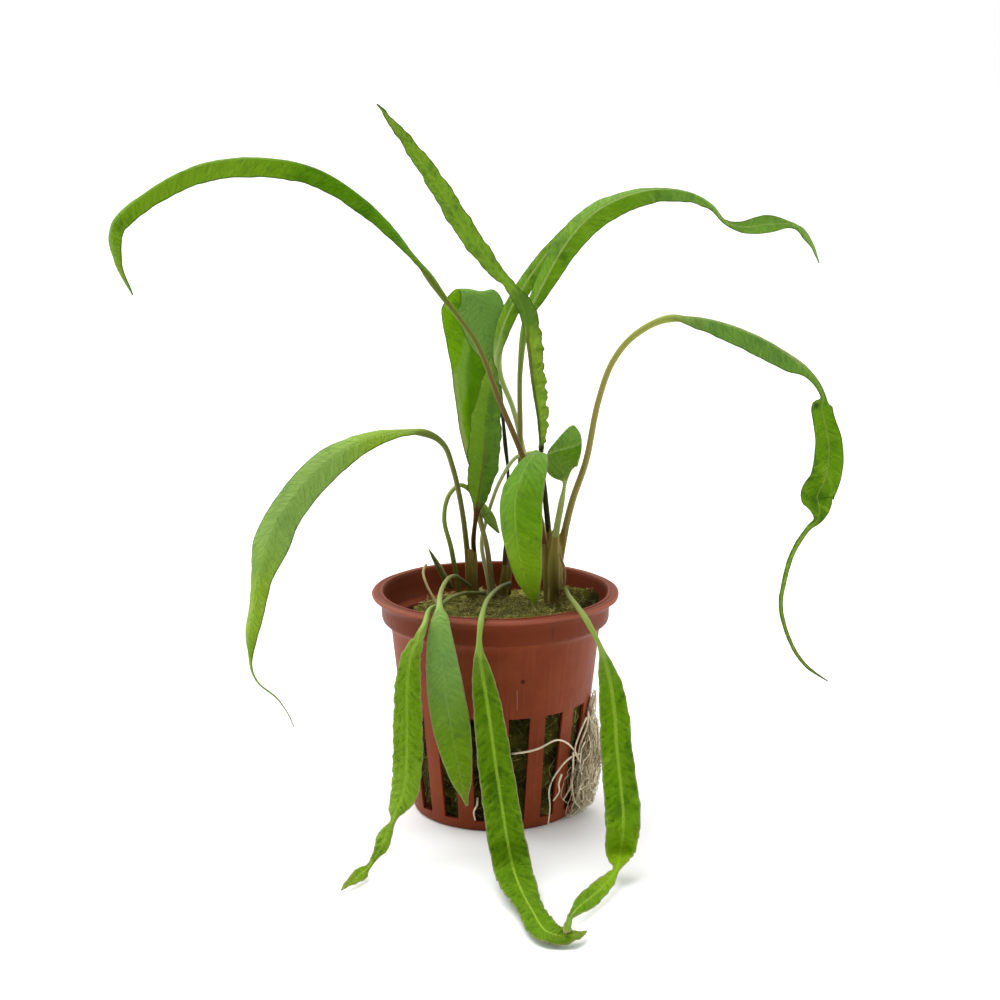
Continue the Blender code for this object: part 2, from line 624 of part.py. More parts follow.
def build_leaf(name, bearing, rows, parts, material):
    rows = smooth_rows(rows, SECTION_SPACING / MM)
    tangents = np.gradient(rows[:, :3], axis=0)
    lean = Vector((math.sin(math.radians(bearing)), -math.cos(math.radians(bearing)), 0))
    bm = bmesh.new()
    rings = []
    for row, tangent in zip(rows, tangents):
        middle = Vector(row[:3]) * MM
        roll, fold = math.radians(row[4]), math.radians(row[5])
        points = section(middle, Vector(tangent).normalized(), lean, row[3] * MM, roll, fold)
        rings.append([bm.verts.new(point) for point in points])
    for ring, following in zip(rings, rings[1:]):
        for corner in range(SECTION_SIDES):
            after = (corner + 1) % SECTION_SIDES
            bm.faces.new((ring[corner], ring[after], following[after], following[corner]))
    bm.faces.new(rings[0])
    bm.faces.new(rings[-1])
    bmesh.ops.recalc_face_normals(bm, faces=bm.faces)
    mesh = bpy.data.meshes.new(name)
    bm.to_mesh(mesh)
    bm.free()
    mesh.shade_smooth()
    new_object(name, parts, mesh, material)


def build_roots(parts, cutters):
    """A flat bunch of roots against the outside of the wall, hollowed where the wall stands."""
    material = new_material("roots", ROOT_CREAM, 0.7)
    bm = bmesh.new()
    bmesh.ops.create_icosphere(bm, subdivisions=3, radius=1)
    out = Vector((math.sin(ROOTS_TURN), -math.cos(ROOTS_TURN), 0))
    across = Vector((math.cos(ROOTS_TURN), math.sin(ROOTS_TURN), 0))
    middle = out * ROOTS_RADIUS + Vector((0, 0, ROOTS_HEIGHT))
    for vert in bm.verts:
        size = Vector((vert.co.x * ROOTS_SIZE.x, vert.co.y * ROOTS_SIZE.y, vert.co.z * ROOTS_SIZE.z))
        vert.co = middle + out * size.x + across * size.y + Vector((0, 0, size.z))
    mesh = bpy.data.meshes.new("root_tuft")
    bm.to_mesh(mesh)
    bm.free()
    roots = new_object("root_tuft", parts, mesh, material)
    low, high = -5 * MM, 40 * MM
    profile = [(0, high), (body_radius(high) + GAP, high), (body_radius(low) + GAP, low), (0, low)]
    wall = turned("wall_space", cutters, profile, POT_STEPS)
    hide_cutter(wall)
    cut(roots, "cut wall", wall)
    shade_round(roots, 40)


def main():
    clear_scene()
    parts = new_collection("potted_cryptocoryne")
    cutters = new_collection("cutters")
    build_pot(parts, cutters)
    build_wool(parts)
    brown = new_material("crown", CROWN_BROWN, 0.6)
    for name, points in CROWNS.items():
        build_crown(name, points, parts, brown)
    green = new_material("leaf", LEAF_GREEN, 0.4)
    black = new_material("withered_leaf", WITHERED_BLACK, 0.5)
    for name, (bearing, rows) in LEAVES.items():
        build_leaf(name, bearing, rows, parts, black if name == "leaf_withered" else green)
    build_roots(parts, cutters)


main()
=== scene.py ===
"""Potted cryptocoryne: veined leaves on long stalks, a slotted net pot, rock wool, crowns and roots.

Lengths in the tables are millimetres. +Z is up, and the plant is seen from -Y.
"""

import math

import bpy
import numpy as np
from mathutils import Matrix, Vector, noise


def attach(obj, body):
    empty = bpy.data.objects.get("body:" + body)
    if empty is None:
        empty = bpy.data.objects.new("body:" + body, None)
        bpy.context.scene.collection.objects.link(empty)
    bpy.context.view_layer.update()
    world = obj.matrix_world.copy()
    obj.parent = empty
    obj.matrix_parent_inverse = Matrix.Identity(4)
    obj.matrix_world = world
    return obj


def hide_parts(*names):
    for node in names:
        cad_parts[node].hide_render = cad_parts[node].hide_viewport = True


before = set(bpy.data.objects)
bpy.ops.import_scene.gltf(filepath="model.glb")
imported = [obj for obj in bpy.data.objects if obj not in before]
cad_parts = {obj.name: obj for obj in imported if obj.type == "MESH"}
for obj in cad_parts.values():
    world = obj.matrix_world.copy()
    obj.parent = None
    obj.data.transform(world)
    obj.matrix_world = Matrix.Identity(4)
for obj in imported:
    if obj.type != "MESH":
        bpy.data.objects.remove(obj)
bpy.ops.object.select_all(action="DESELECT")
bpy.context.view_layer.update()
MM = 0.001

# Camera, fitted to the rim and foot circles of the pot
CAMERA_PLACE = (0.001, -0.442, 0.163)
CAMERA_TILT = 78.12
CAMERA_LENS = 74.0

# Leaves: the bearing that the blade leans toward, then points from the base to the tip.
# A point is x, y, z and width, the roll of the blade, and how far its halves fold down.
LEAVES = {
    "leaf_upper_left": (190, (
        (11.2, 4.9, 55, 1.5, 0, 0),
        (10, 4, 64.5, 1.5, 0, 0),
        (6.5, 1.5, 78, 1.5, 0, 0),
        (1, -1, 92, 1.4, 0, 0),
        (-4, -3, 105, 1.3, 0, 0),
        (-11, -4, 115, 1.6, 10, 5),
        (-17, -5, 123.5, 3.2, 25, 15),
        (-25.5, -7, 134, 6, 38, 35),
        (-36.5, -10, 142, 7.4, 40, 42),
        (-47.5, -13, 144.5, 7.8, 42, 42),
        (-60, -17, 143.5, 7.6, 38, 40),
        (-71, -20, 138, 6.8, 35, 38),
        (-77.5, -22, 131.5, 5.6, 40, 30),
        (-77, -22.5, 124.5, 3, 40, 15),
        (-74, -22.5, 117.5, 0.5, 40, 0),
    )),
    "leaf_left": (212, (
        (-6.2, 9.3, 54.6, 1.5, 0, 0),
        (-7.5, 8, 66, 1.4, 0, 0),
        (-9.5, 6.5, 76, 1.4, 0, 0),
        (-11.5, 5, 81.5, 1.5, 5, 0),
        (-15.5, 2.5, 84.5, 2.2, 15, 8),
        (-25.5, -3, 85, 4.8, 30, 20),
        (-35.5, -9, 80.5, 7.4, 48, 20),
        (-44.5, -14, 71, 8, 45, 20),
        (-48.5, -17.4, 63.3, 9, 36, 22),
        (-50, -19, 57.8, 6.5, 26, 22),
        (-50.6, -19.8, 54.3, 5.6, 20, 22),
        (-51.4, -20.6, 49.7, 5.5, 16, 22),
        (-52.5, -21.2, 44.6, 4.7, 10, 25),
        (-52.3, -21.4, 40.9, 2.7, 5, 30),
        (-51.9, -21.3, 37.3, 1.6, 0, 20),
        (-50.5, -20.8, 34.3, 1.7, 0, 10),
        (-48.6, -20.2, 32.4, 2, 0, 5),
        (-46.8, -19.7, 30.7, 1.6, 0, 5),
        (-45.6, -19.4, 28.9, 0.8, 0, 0),
        (-44.3, -19.2, 26.6, 0.6, 0, 0),
        (-43.3, -19, 23.9, 0.3, 0, 0),
    )),
    "leaf_back_folded": (262, (
        (-1, 10.2, 50.2, 1.5, 0, 0),
        (-2, 11, 57, 1.4, 0, 0),
        (-3.6, 12.5, 63.5, 1.5, 0, 0),
        (-4, 16.5, 71.2, 2, -10, 8),
        (-4.1, 17.2, 74.2, 3.9, -10, 10),
        (-4.8, 19.5, 80.6, 6.6, -12, 16),
        (-5.2, 20.6, 86.2, 7.7, -12, 18),
        (-5.4, 21, 91.9, 8.8, -10, 18),
        (-5.5, 21.3, 97.3, 9.8, -8, 16),
        (-5.8, 21.5, 103.2, 11.3, -4, 14),
        (-5.9, 21.5, 107.1, 12.4, -2, 12),
        (-5.9, 21.3, 110.5, 12.6, 0, 15),
        (-6, 20.8, 112.3, 10.4, 4, 16),
        (-5.9, 19.6, 113.8, 7.2, 9, 18),
        (-5.4, 18.2, 114.4, 6, 14, 18),
        (-4.6, 17, 113.8, 7.6, 18, 16),
        (-3.6, 16.3, 112, 10.3, 18, 14),
        (-2.9, 16, 108.2, 10.5, 10, 8),
        (-2.1, 15.8, 103.7, 8.5, 8, 8),
        (-1, 15.5, 99.7, 4.9, 8, 8),
        (-0.1, 15.3, 96.1, 0.9, 8, 0),
    )),
    "leaf_tall": (150, (
        (12.6, 8.2, 55, 1.5, 0, 0),
        (11, 6, 70, 1.4, 0, 0),
        (10.1, 5, 79.8, 1.2, -40, 0),
        (10.5, 5, 83.4, 2.6, -72, 5),
        (10.5, 5, 87.4, 3.4, -80, 8),
        (10, 5, 92.3, 4.1, -84, 8),
        (9.3, 5, 97.6, 4.1, -88, 8),
        (8.7, 5, 103.4, 4.1, -94, 8),
        (7.8, 5.2, 108.6, 4.1, -104, 10),
        (5.9, 5.8, 112.9, 3.6, -118, 12),
        (2.7, 7, 116.7, 2.5, -132, 10),
        (-1, 9, 120.7, 3.7, -130, 10),
        (-6.7, 11, 128.4, 4.6, -122, 12),
        (-13.2, 13, 138.7, 4.1, -116, 12),
        (-19.8, 15, 147.7, 2.6, -115, 10),
        (-25.9, 16, 155.2, 0.4, -115, 0),
    )),
    "leaf_upper_right": (28, (
        (2, 10, 50.2, 1.5, 0, 0),
        (2.5, 10, 57.5, 1.5, 0, 0),
        (4.5, 10, 65.5, 1.5, 0, 0),
        (5.5, 10, 75, 1.4, 0, 0),
        (5.5, 10, 84, 1.4, 0, 0),
        (5.5, 10.5, 97.5, 1.4, 0, 0),
        (7, 11.5, 108.5, 2.6, -20, 10),
        (11, 13.5, 117, 5.2, -45, 28),
        (17, 17, 126.5, 7.4, -50, 35),
        (24, 21, 132.5, 7.8, -48, 38),
        (35, 26, 136, 6.4, -42, 40),
        (44.5, 30, 135, 4.8, -42, 38),
        (49.5, 32, 132, 2.6, -60, 30),
        (52.5, 33.5, 128.5, 1.4, -80, 10),
        (57, 35, 127, 3, -90, 10),
        (63, 37, 127.5, 4.4, -90, 15),
        (69.5, 39.5, 127, 1.9, -70, 15),
        (73.5, 41, 123.5, 3.6, -50, 10),
        (76, 42, 118, 0.4, -60, 0),
    )),
    "leaf_ruffled": (265, (
        (-4.8, 10.8, 54.6, 1.4, 0, 0),
        (-5, 10.3, 58.5, 1.3, 0, 0),
        (-4.3, 9.9, 65, 1.6, 0, 5),
        (-3.5, 9, 71, 5.4, 0, 15),
        (-2.5, 8, 78.5, 7.6, 0, 20),
        (-2, 8, 86.5, 7.2, 0, 20),
        (-1, 8.5, 94, 4.8, 0, 15),
        (-1, 9.5, 100.5, 0.6, 0, 0),
    )),
    "leaf_behind": (40, (
        (13.2, 10.6, 54, 1.3, 0, 0),
        (10, 12, 64, 1.3, 0, 0),
        (7, 13, 75.5, 1.4, 0, 0),
        (4, 13, 88, 1.4, 0, 0),
        (1, 12.8, 96, 1.6, -10, 0),
        (0.5, 12.6, 101, 2.6, -20, 10),
        (2, 13.2, 107.5, 4, -30, 15),
        (5.5, 16, 114, 4, -35, 15),
        (11, 21, 121.5, 3.4, -40, 15),
        (18, 27, 128, 3.2, -40, 15),
        (24, 33, 131.5, 2.8, -35, 15),
        (31.5, 41, 133, 1.8, -30, 10),
        (36.5, 46, 132.5, 0.5, -30, 0),
    )),
    "leaf_right": (345, (
        (14, 5.6, 55, 2, 0, 0),
        (17, 5, 68.5, 1.8, 0, 0),
        (20, 4, 78, 1.7, 0, 0),
        (22.5, 2.5, 91.5, 1.6, 0, 0),
        (25.5, 1, 100.5, 1.6, 0, 0),
        (30, -1, 106.5, 1.7, -5, 0),
        (36.8, -3, 110.3, 2.1, -15, 10),
        (44.5, -5.5, 110, 4.1, -30, 30),
        (54, -8.5, 106.9, 5.4, -38, 38),
        (62, -11, 102.5, 4.6, -45, 36),
        (66.1, -12.6, 99.8, 2.4, -55, 25),
        (68.4, -13.6, 96.8, 1.5, -75, 10),
        (69.1, -13.9, 94.8, 1.7, -82, 8),
        (68.8, -14, 93.4, 4.2, -84, 8),
        (69.2, -14.4, 90.7, 4.7, -86, 8),
        (70.3, -14.8, 86.1, 5.7, -86, 10),
        (70.5, -15, 81.8, 6.4, -86, 10),
        (69.8, -15, 77.5, 6.6, -86, 10),
        (68.3, -15, 73.8, 7.2, -86, 8),
        (68.7, -15, 72.3, 5.9, -87, 8),
        (68.9, -15, 70.6, 4, -88, 5),
        (68.5, -14.8, 68.6, 2.1, -88, 5),
        (66.8, -14.6, 67, 1.4, -75, 0),
        (64.6, -14.3, 63.6, 1.5, -60, 0),
        (62.8, -14, 59, 1.4, -60, 0),
        (61.9, -13.8, 54.3, 1.3, -60, 0),
        (61.4, -13.6, 50, 1.2, -60, 0),
        (62.3, -13.5, 45.5, 1.1, -60, 0),
        (64.1, -13.5, 40.8, 1, -60, 0),
        (67.3, -13.7, 36.2, 0.9, -60, 0),
        (72.1, -14, 32.8, 0.3, -60, 0),
    )),
    "leaf_front_cupped": (262, (
        (13.1, 3, 56.5, 1.6, 0, 0),
        (13.5, 2.5, 62.5, 1.5, 0, 0),
        (14.5, 2.5, 68.5, 1.4, 0, 0),
        (15.3, 2.6, 73.8, 1.3, 0, 0),
        (15, 2.5, 74.6, 3.1, 0, -4),
        (14.5, 2.4, 75.7, 5.5, 0, -8),
        (14.3, 2.6, 77.2, 7, 0, -10),
        (14.8, 3.1, 78.9, 7.5, 0, -10),
        (15.7, 3.7, 80.6, 6.8, 0, -8),
        (16.4, 4.4, 82.3, 5.6, 0, -4),
        (16.8, 5.2, 83.6, 4.4, 0, 0),
        (17, 6, 84.6, 2.9, 0, 0),
        (17.2, 6.6, 85.5, 0.9, 0, 0),
    )),
    "leaf_front_hanging": (262, (
        (-2, 12.6, 50.2, 1.6, 0, 0),
        (-3.2, 14, 57, 1.6, 0, 0),
        (-2.2, 14.8, 62, 1.5, 0, 0),
        (-0.8, 13, 67, 1.4, 0, 0),
        (0.8, 9, 72, 1.4, 0, 0),
        (3.6, 6.2, 77.4, 1.4, 0, 0),
        (5.2, 5, 79, 1.4, 0, 0),
        (7.3, 3.6, 79.8, 1.4, 0, 0),
        (8.8, -0.4, 80.7, 1.8, -8, 5),
        (8.4, -4.6, 81, 6, -14, 12),
        (7.2, -7.5, 79.8, 9, -20, 18),
        (5.6, -11, 76.9, 10.6, -22, 20),
        (4.6, -13.2, 72.8, 11.2, -22, 22),
        (4.7, -14.4, 66.7, 10.9, -22, 22),
        (5.5, -14.6, 61.1, 9.3, -22, 20),
        (6.7, -14.2, 55.3, 6.8, -22, 18),
        (8.1, -13.6, 51.3, 3.2, -22, 12),
        (9, -13, 48.6, 0.4, -20, 0),
    )),
    "leaf_rim_short": (262, (
        (-5.8, 6.6, 48.8, 1.3, 0, 0),
        (-8.6, 3.2, 51.8, 1.2, 0, 0),
        (-10.2, -2.5, 53, 1.2, 0, 0),
        (-11.4, -9.8, 52.8, 1.3, 0, 0),
        (-11.8, -16.8, 52.4, 1.5, 0, 0),
        (-11.7, -23.5, 52, 1.9, 0, 0),
        (-11.5, -28, 51, 3.6, 0, 6),
        (-11.5, -31, 47, 5.6, 0, 10),
        (-10.5, -32, 37, 7.8, 5, 10),
        (-9, -31, 26.5, 8, 5, 10),
        (-7.5, -29, 17, 5.4, 5, 10),
        (-6, -28, 9.5, 0.8, 5, 0),
    )),
    "leaf_trailing_left": (243, (
        (-2.4, 5.5, 47.4, 1.3, 0, 0),
        (-3.9, 3.5, 48, 1.2, 0, 0),
        (-6.8, -0.5, 49, 1.2, 0, 0),
        (-9.5, -7.6, 50, 1.2, 0, 0),
        (-11.6, -15.8, 50.6, 1.2, 0, 0),
        (-13.9, -23.6, 51.2, 1.4, 0, 0),
        (-14.7, -29.5, 49.5, 1.9, 0, 4),
        (-15.8, -31.6, 47.7, 3, -5, 8),
        (-17.4, -33, 44.2, 4.6, 0, 10),
        (-18.1, -33.8, 39.5, 5.8, 5, 10),
        (-18.3, -34.6, 33.3, 6.6, 5, 10),
        (-18.3, -35.5, 26.3, 7, 5, 10),
        (-18.5, -36.3, 20, 6.8, 5, 10),
        (-19.2, -37, 15.2, 6.2, 5, 10),
        (-20.6, -37.8, 12.2, 3.9, 5, 10),
        (-21.2, -38.8, 10.2, 1.7, 15, 5),
        (-22.5, -40.2, 8.1, 3.1, 30, 8),
        (-23.5, -42, 5.8, 3.3, 15, 8),
        (-25.3, -41.2, 2.6, 1.7, 20, 5),
        (-26, -43.3, 2, 1.6, 35, 0),
        (-27.2, -46.2, 1.9, 3.1, 42, 0),
        (-28.9, -49.7, 1.6, 2.5, 40, 0),
        (-30.1, -51.6, 1.3, 1.6, 35, 0),
        (-31, -53.2, 0.9, 0.4, 0, 0),
    )),
    "leaf_trailing_middle": (274, (
        (3.2, 7, 49.4, 1.4, 0, 0),
        (1, 1, 50, 1.3, 0, 0),
        (-1.5, -12, 50.8, 1.4, 0, 0),
        (-2.5, -23.5, 51.2, 1.5, 0, 0),
        (-3, -29.5, 50, 1.8, 0, 0),
        (-3.3, -31.5, 47, 1.6, 0, 5),
        (-3.1, -32.2, 42.9, 3.2, 5, 10),
        (-2.1, -33.5, 36.9, 5.4, 5, 10),
        (-1, -35.8, 30, 6.6, 5, 10),
        (0.1, -38.8, 22.4, 7.4, 5, 10),
        (1.2, -42, 16, 7.8, 5, 10),
        (2.4, -46.5, 9.5, 8, 5, 10),
        (3.5, -48.4, 4.4, 8, 0, 8),
        (4.7, -55.4, 3.2, 7.6, 0, 5),
        (6.1, -61.4, 2.3, 6.5, 8, 4),
        (7.4, -66.1, 1.8, 5.9, 5, 0),
        (8.5, -71.6, 1.9, 6, -8, 0),
        (9.9, -76.5, 2.3, 5.1, -25, 0),
        (12, -78.3, 2.3, 4, -35, 0),
        (14.4, -77.9, 2.1, 3.4, -36, 0),
        (16.2, -76.5, 1.8, 2.5, -30, 0),
        (17.6, -74, 1.3, 0.5, -20, 0),
    )),
    "leaf_trailing_right": (282, (
        (14.4, 2.6, 49.2, 1.4, 0, 0),
        (15.4, -1, 50, 1.3, 0, 0),
        (16, -11, 51, 1.4, 0, 0),
        (17.3, -20.5, 51.3, 1.5, 0, 0),
        (19, -26, 50, 1.8, 0, 0),
        (21.7, -30, 45.5, 1.5, 0, 5),
        (22.8, -31, 42.2, 3.1, -5, 10),
        (23.9, -32.6, 37.9, 5, -5, 10),
        (24.8, -34, 31.6, 6.4, -5, 10),
        (25.2, -36.6, 24.9, 6.8, -5, 10),
        (25.9, -39.3, 18.2, 7.3, -5, 10),
        (26.3, -42, 13.4, 7.6, -5, 10),
        (26.2, -44.3, 9.9, 7.2, -5, 10),
        (25.9, -42.7, 5.8, 6.6, -8, 8),
        (25.3, -46.2, 4.6, 4.5, -15, 5),
        (24.7, -49, 3.9, 2.2, 0, 0),
        (23.3, -52.8, 3.5, 3, 42, 3),
        (20.9, -58, 3.2, 3.8, 55, 3),
        (18.3, -62.8, 3, 3.9, 55, 3),
        (16.1, -66.7, 2.9, 3.1, 50, 0),
        (14.7, -70.4, 2.8, 1.9, 45, 0),
        (14.1, -74.6, 3.2, 2.1, 40, 0),
        (13.6, -77.8, 3.4, 2.3, 35, 0),
        (13.2, -79.9, 3.4, 0.6, 30, 0),
    )),
    "leaf_looped": (100, (
        (-8.3, 9.9, 46.8, 1.4, 0, 0),
        (-10, 7.5, 57.5, 1.3, 0, 0),
        (-11.5, 8, 64, 1.2, 0, 0),
        (-10.5, 9.5, 69, 1.2, 0, 0),
        (-8, 11.5, 71, 1.2, 0, 0),
        (-6, 12.2, 70, 1.4, 0, 0),
        (-3.3, 12, 66.5, 2, 0, 8),
        (-1.2, 11.6, 63, 3, 20, 10),
        (0.8, 11.2, 60, 0.6, 20, 0),
    )),
    "leaf_withered": (95, (
        (3, 12.4, 51, 1.1, 0, 0),
        (3.1, 13.2, 58, 1, 0, 0),
        (2.8, 13.8, 69.4, 0.8, 0, 0),
        (2.8, 14, 74, 0.7, 0, 0),
        (2.2, 14.3, 79.7, 1, 0, 0),
        (1.8, 14.6, 84.2, 0.8, 0, 0),
        (1.4, 14.8, 88.7, 0.9, 0, 0),
        (1.1, 15, 93.5, 0.4, 0, 0),
    )),
    "shoot_small": (170, (
        (-10.2, 10.5, 47.4, 1.6, 0, 0),
        (-11.8, 10, 50.5, 2.6, 0, 10),
        (-13.5, 9, 54, 2, 0, 10),
        (-15, 8, 57, 0.4, 0, 0),
    )),
}

# Greens of the blades: the dark of the mottling, the body, and the light between the veins
FRESH = ((0.06, 0.18, 0.0005), (0.16, 0.36, 0.002), (0.34, 0.58, 0.04))
DEEP = ((0.05, 0.15, 0.0005), (0.13, 0.31, 0.002), (0.28, 0.5, 0.03))
LIGHT = ((0.2, 0.38, 0.01), (0.32, 0.52, 0.03), (0.5, 0.68, 0.14))
YELLOWED = ((0.08, 0.18, 0.0005), (0.2, 0.37, 0.002), (0.42, 0.6, 0.04))
SUNLIT = ((0.15, 0.36, 0.002), (0.28, 0.58, 0.006), (0.5, 0.74, 0.08))
SHADED = ((0.05, 0.15, 0.0005), (0.13, 0.29, 0.0012), (0.27, 0.46, 0.02))
BRIGHT = ((0.11, 0.25, 0.001), (0.21, 0.41, 0.003), (0.4, 0.63, 0.06))
# Stalks, from their base to where the blade begins
OLIVE_STALK = ((0.13, 0.1, 0.03), (0.17, 0.18, 0.045), (0.19, 0.27, 0.04))
TAN_STALK = ((0.22, 0.17, 0.05), (0.27, 0.22, 0.06), (0.27, 0.33, 0.06))
BROWN_STALK = ((0.19, 0.07, 0.025), (0.17, 0.11, 0.035), (0.14, 0.24, 0.02))
DARK_STALK = ((0.05, 0.018, 0.01), (0.05, 0.02, 0.01), (0.12, 0.06, 0.015))
BLACK_STALK = ((0.05, 0.012, 0.008), (0.012, 0.006, 0.006), (0.03, 0.015, 0.008))
PALE_STALK = ((0.42, 0.4, 0.2), (0.42, 0.46, 0.2), (0.3, 0.42, 0.12))
SAND_STALK = ((0.2, 0.15, 0.06), (0.32, 0.29, 0.1), (0.27, 0.32, 0.07))
RUSTY_STALK = ((0.07, 0.035, 0.01), (0.17, 0.15, 0.04), (0.14, 0.24, 0.03))
HANGING_STALK = ((0.09, 0.09, 0.02), (0.19, 0.24, 0.05), (0.24, 0.36, 0.06))
GREEN_STALK = ((0.13, 0.15, 0.03), (0.21, 0.27, 0.05), (0.25, 0.38, 0.06))
CROWN_STALK = ((0.24, 0.19, 0.06), (0.28, 0.32, 0.09), (0.34, 0.42, 0.12))

BLACKENED = ((0.006, 0.006, 0.004), (0.012, 0.012, 0.008), (0.03, 0.028, 0.015))
# Margins: a thin brown line on the high leaves, a pale pinkish one on those in front
DARK_EDGE = (0.06, 0.08, 0.02)
PALE_EDGE = (0.42, 0.36, 0.2)

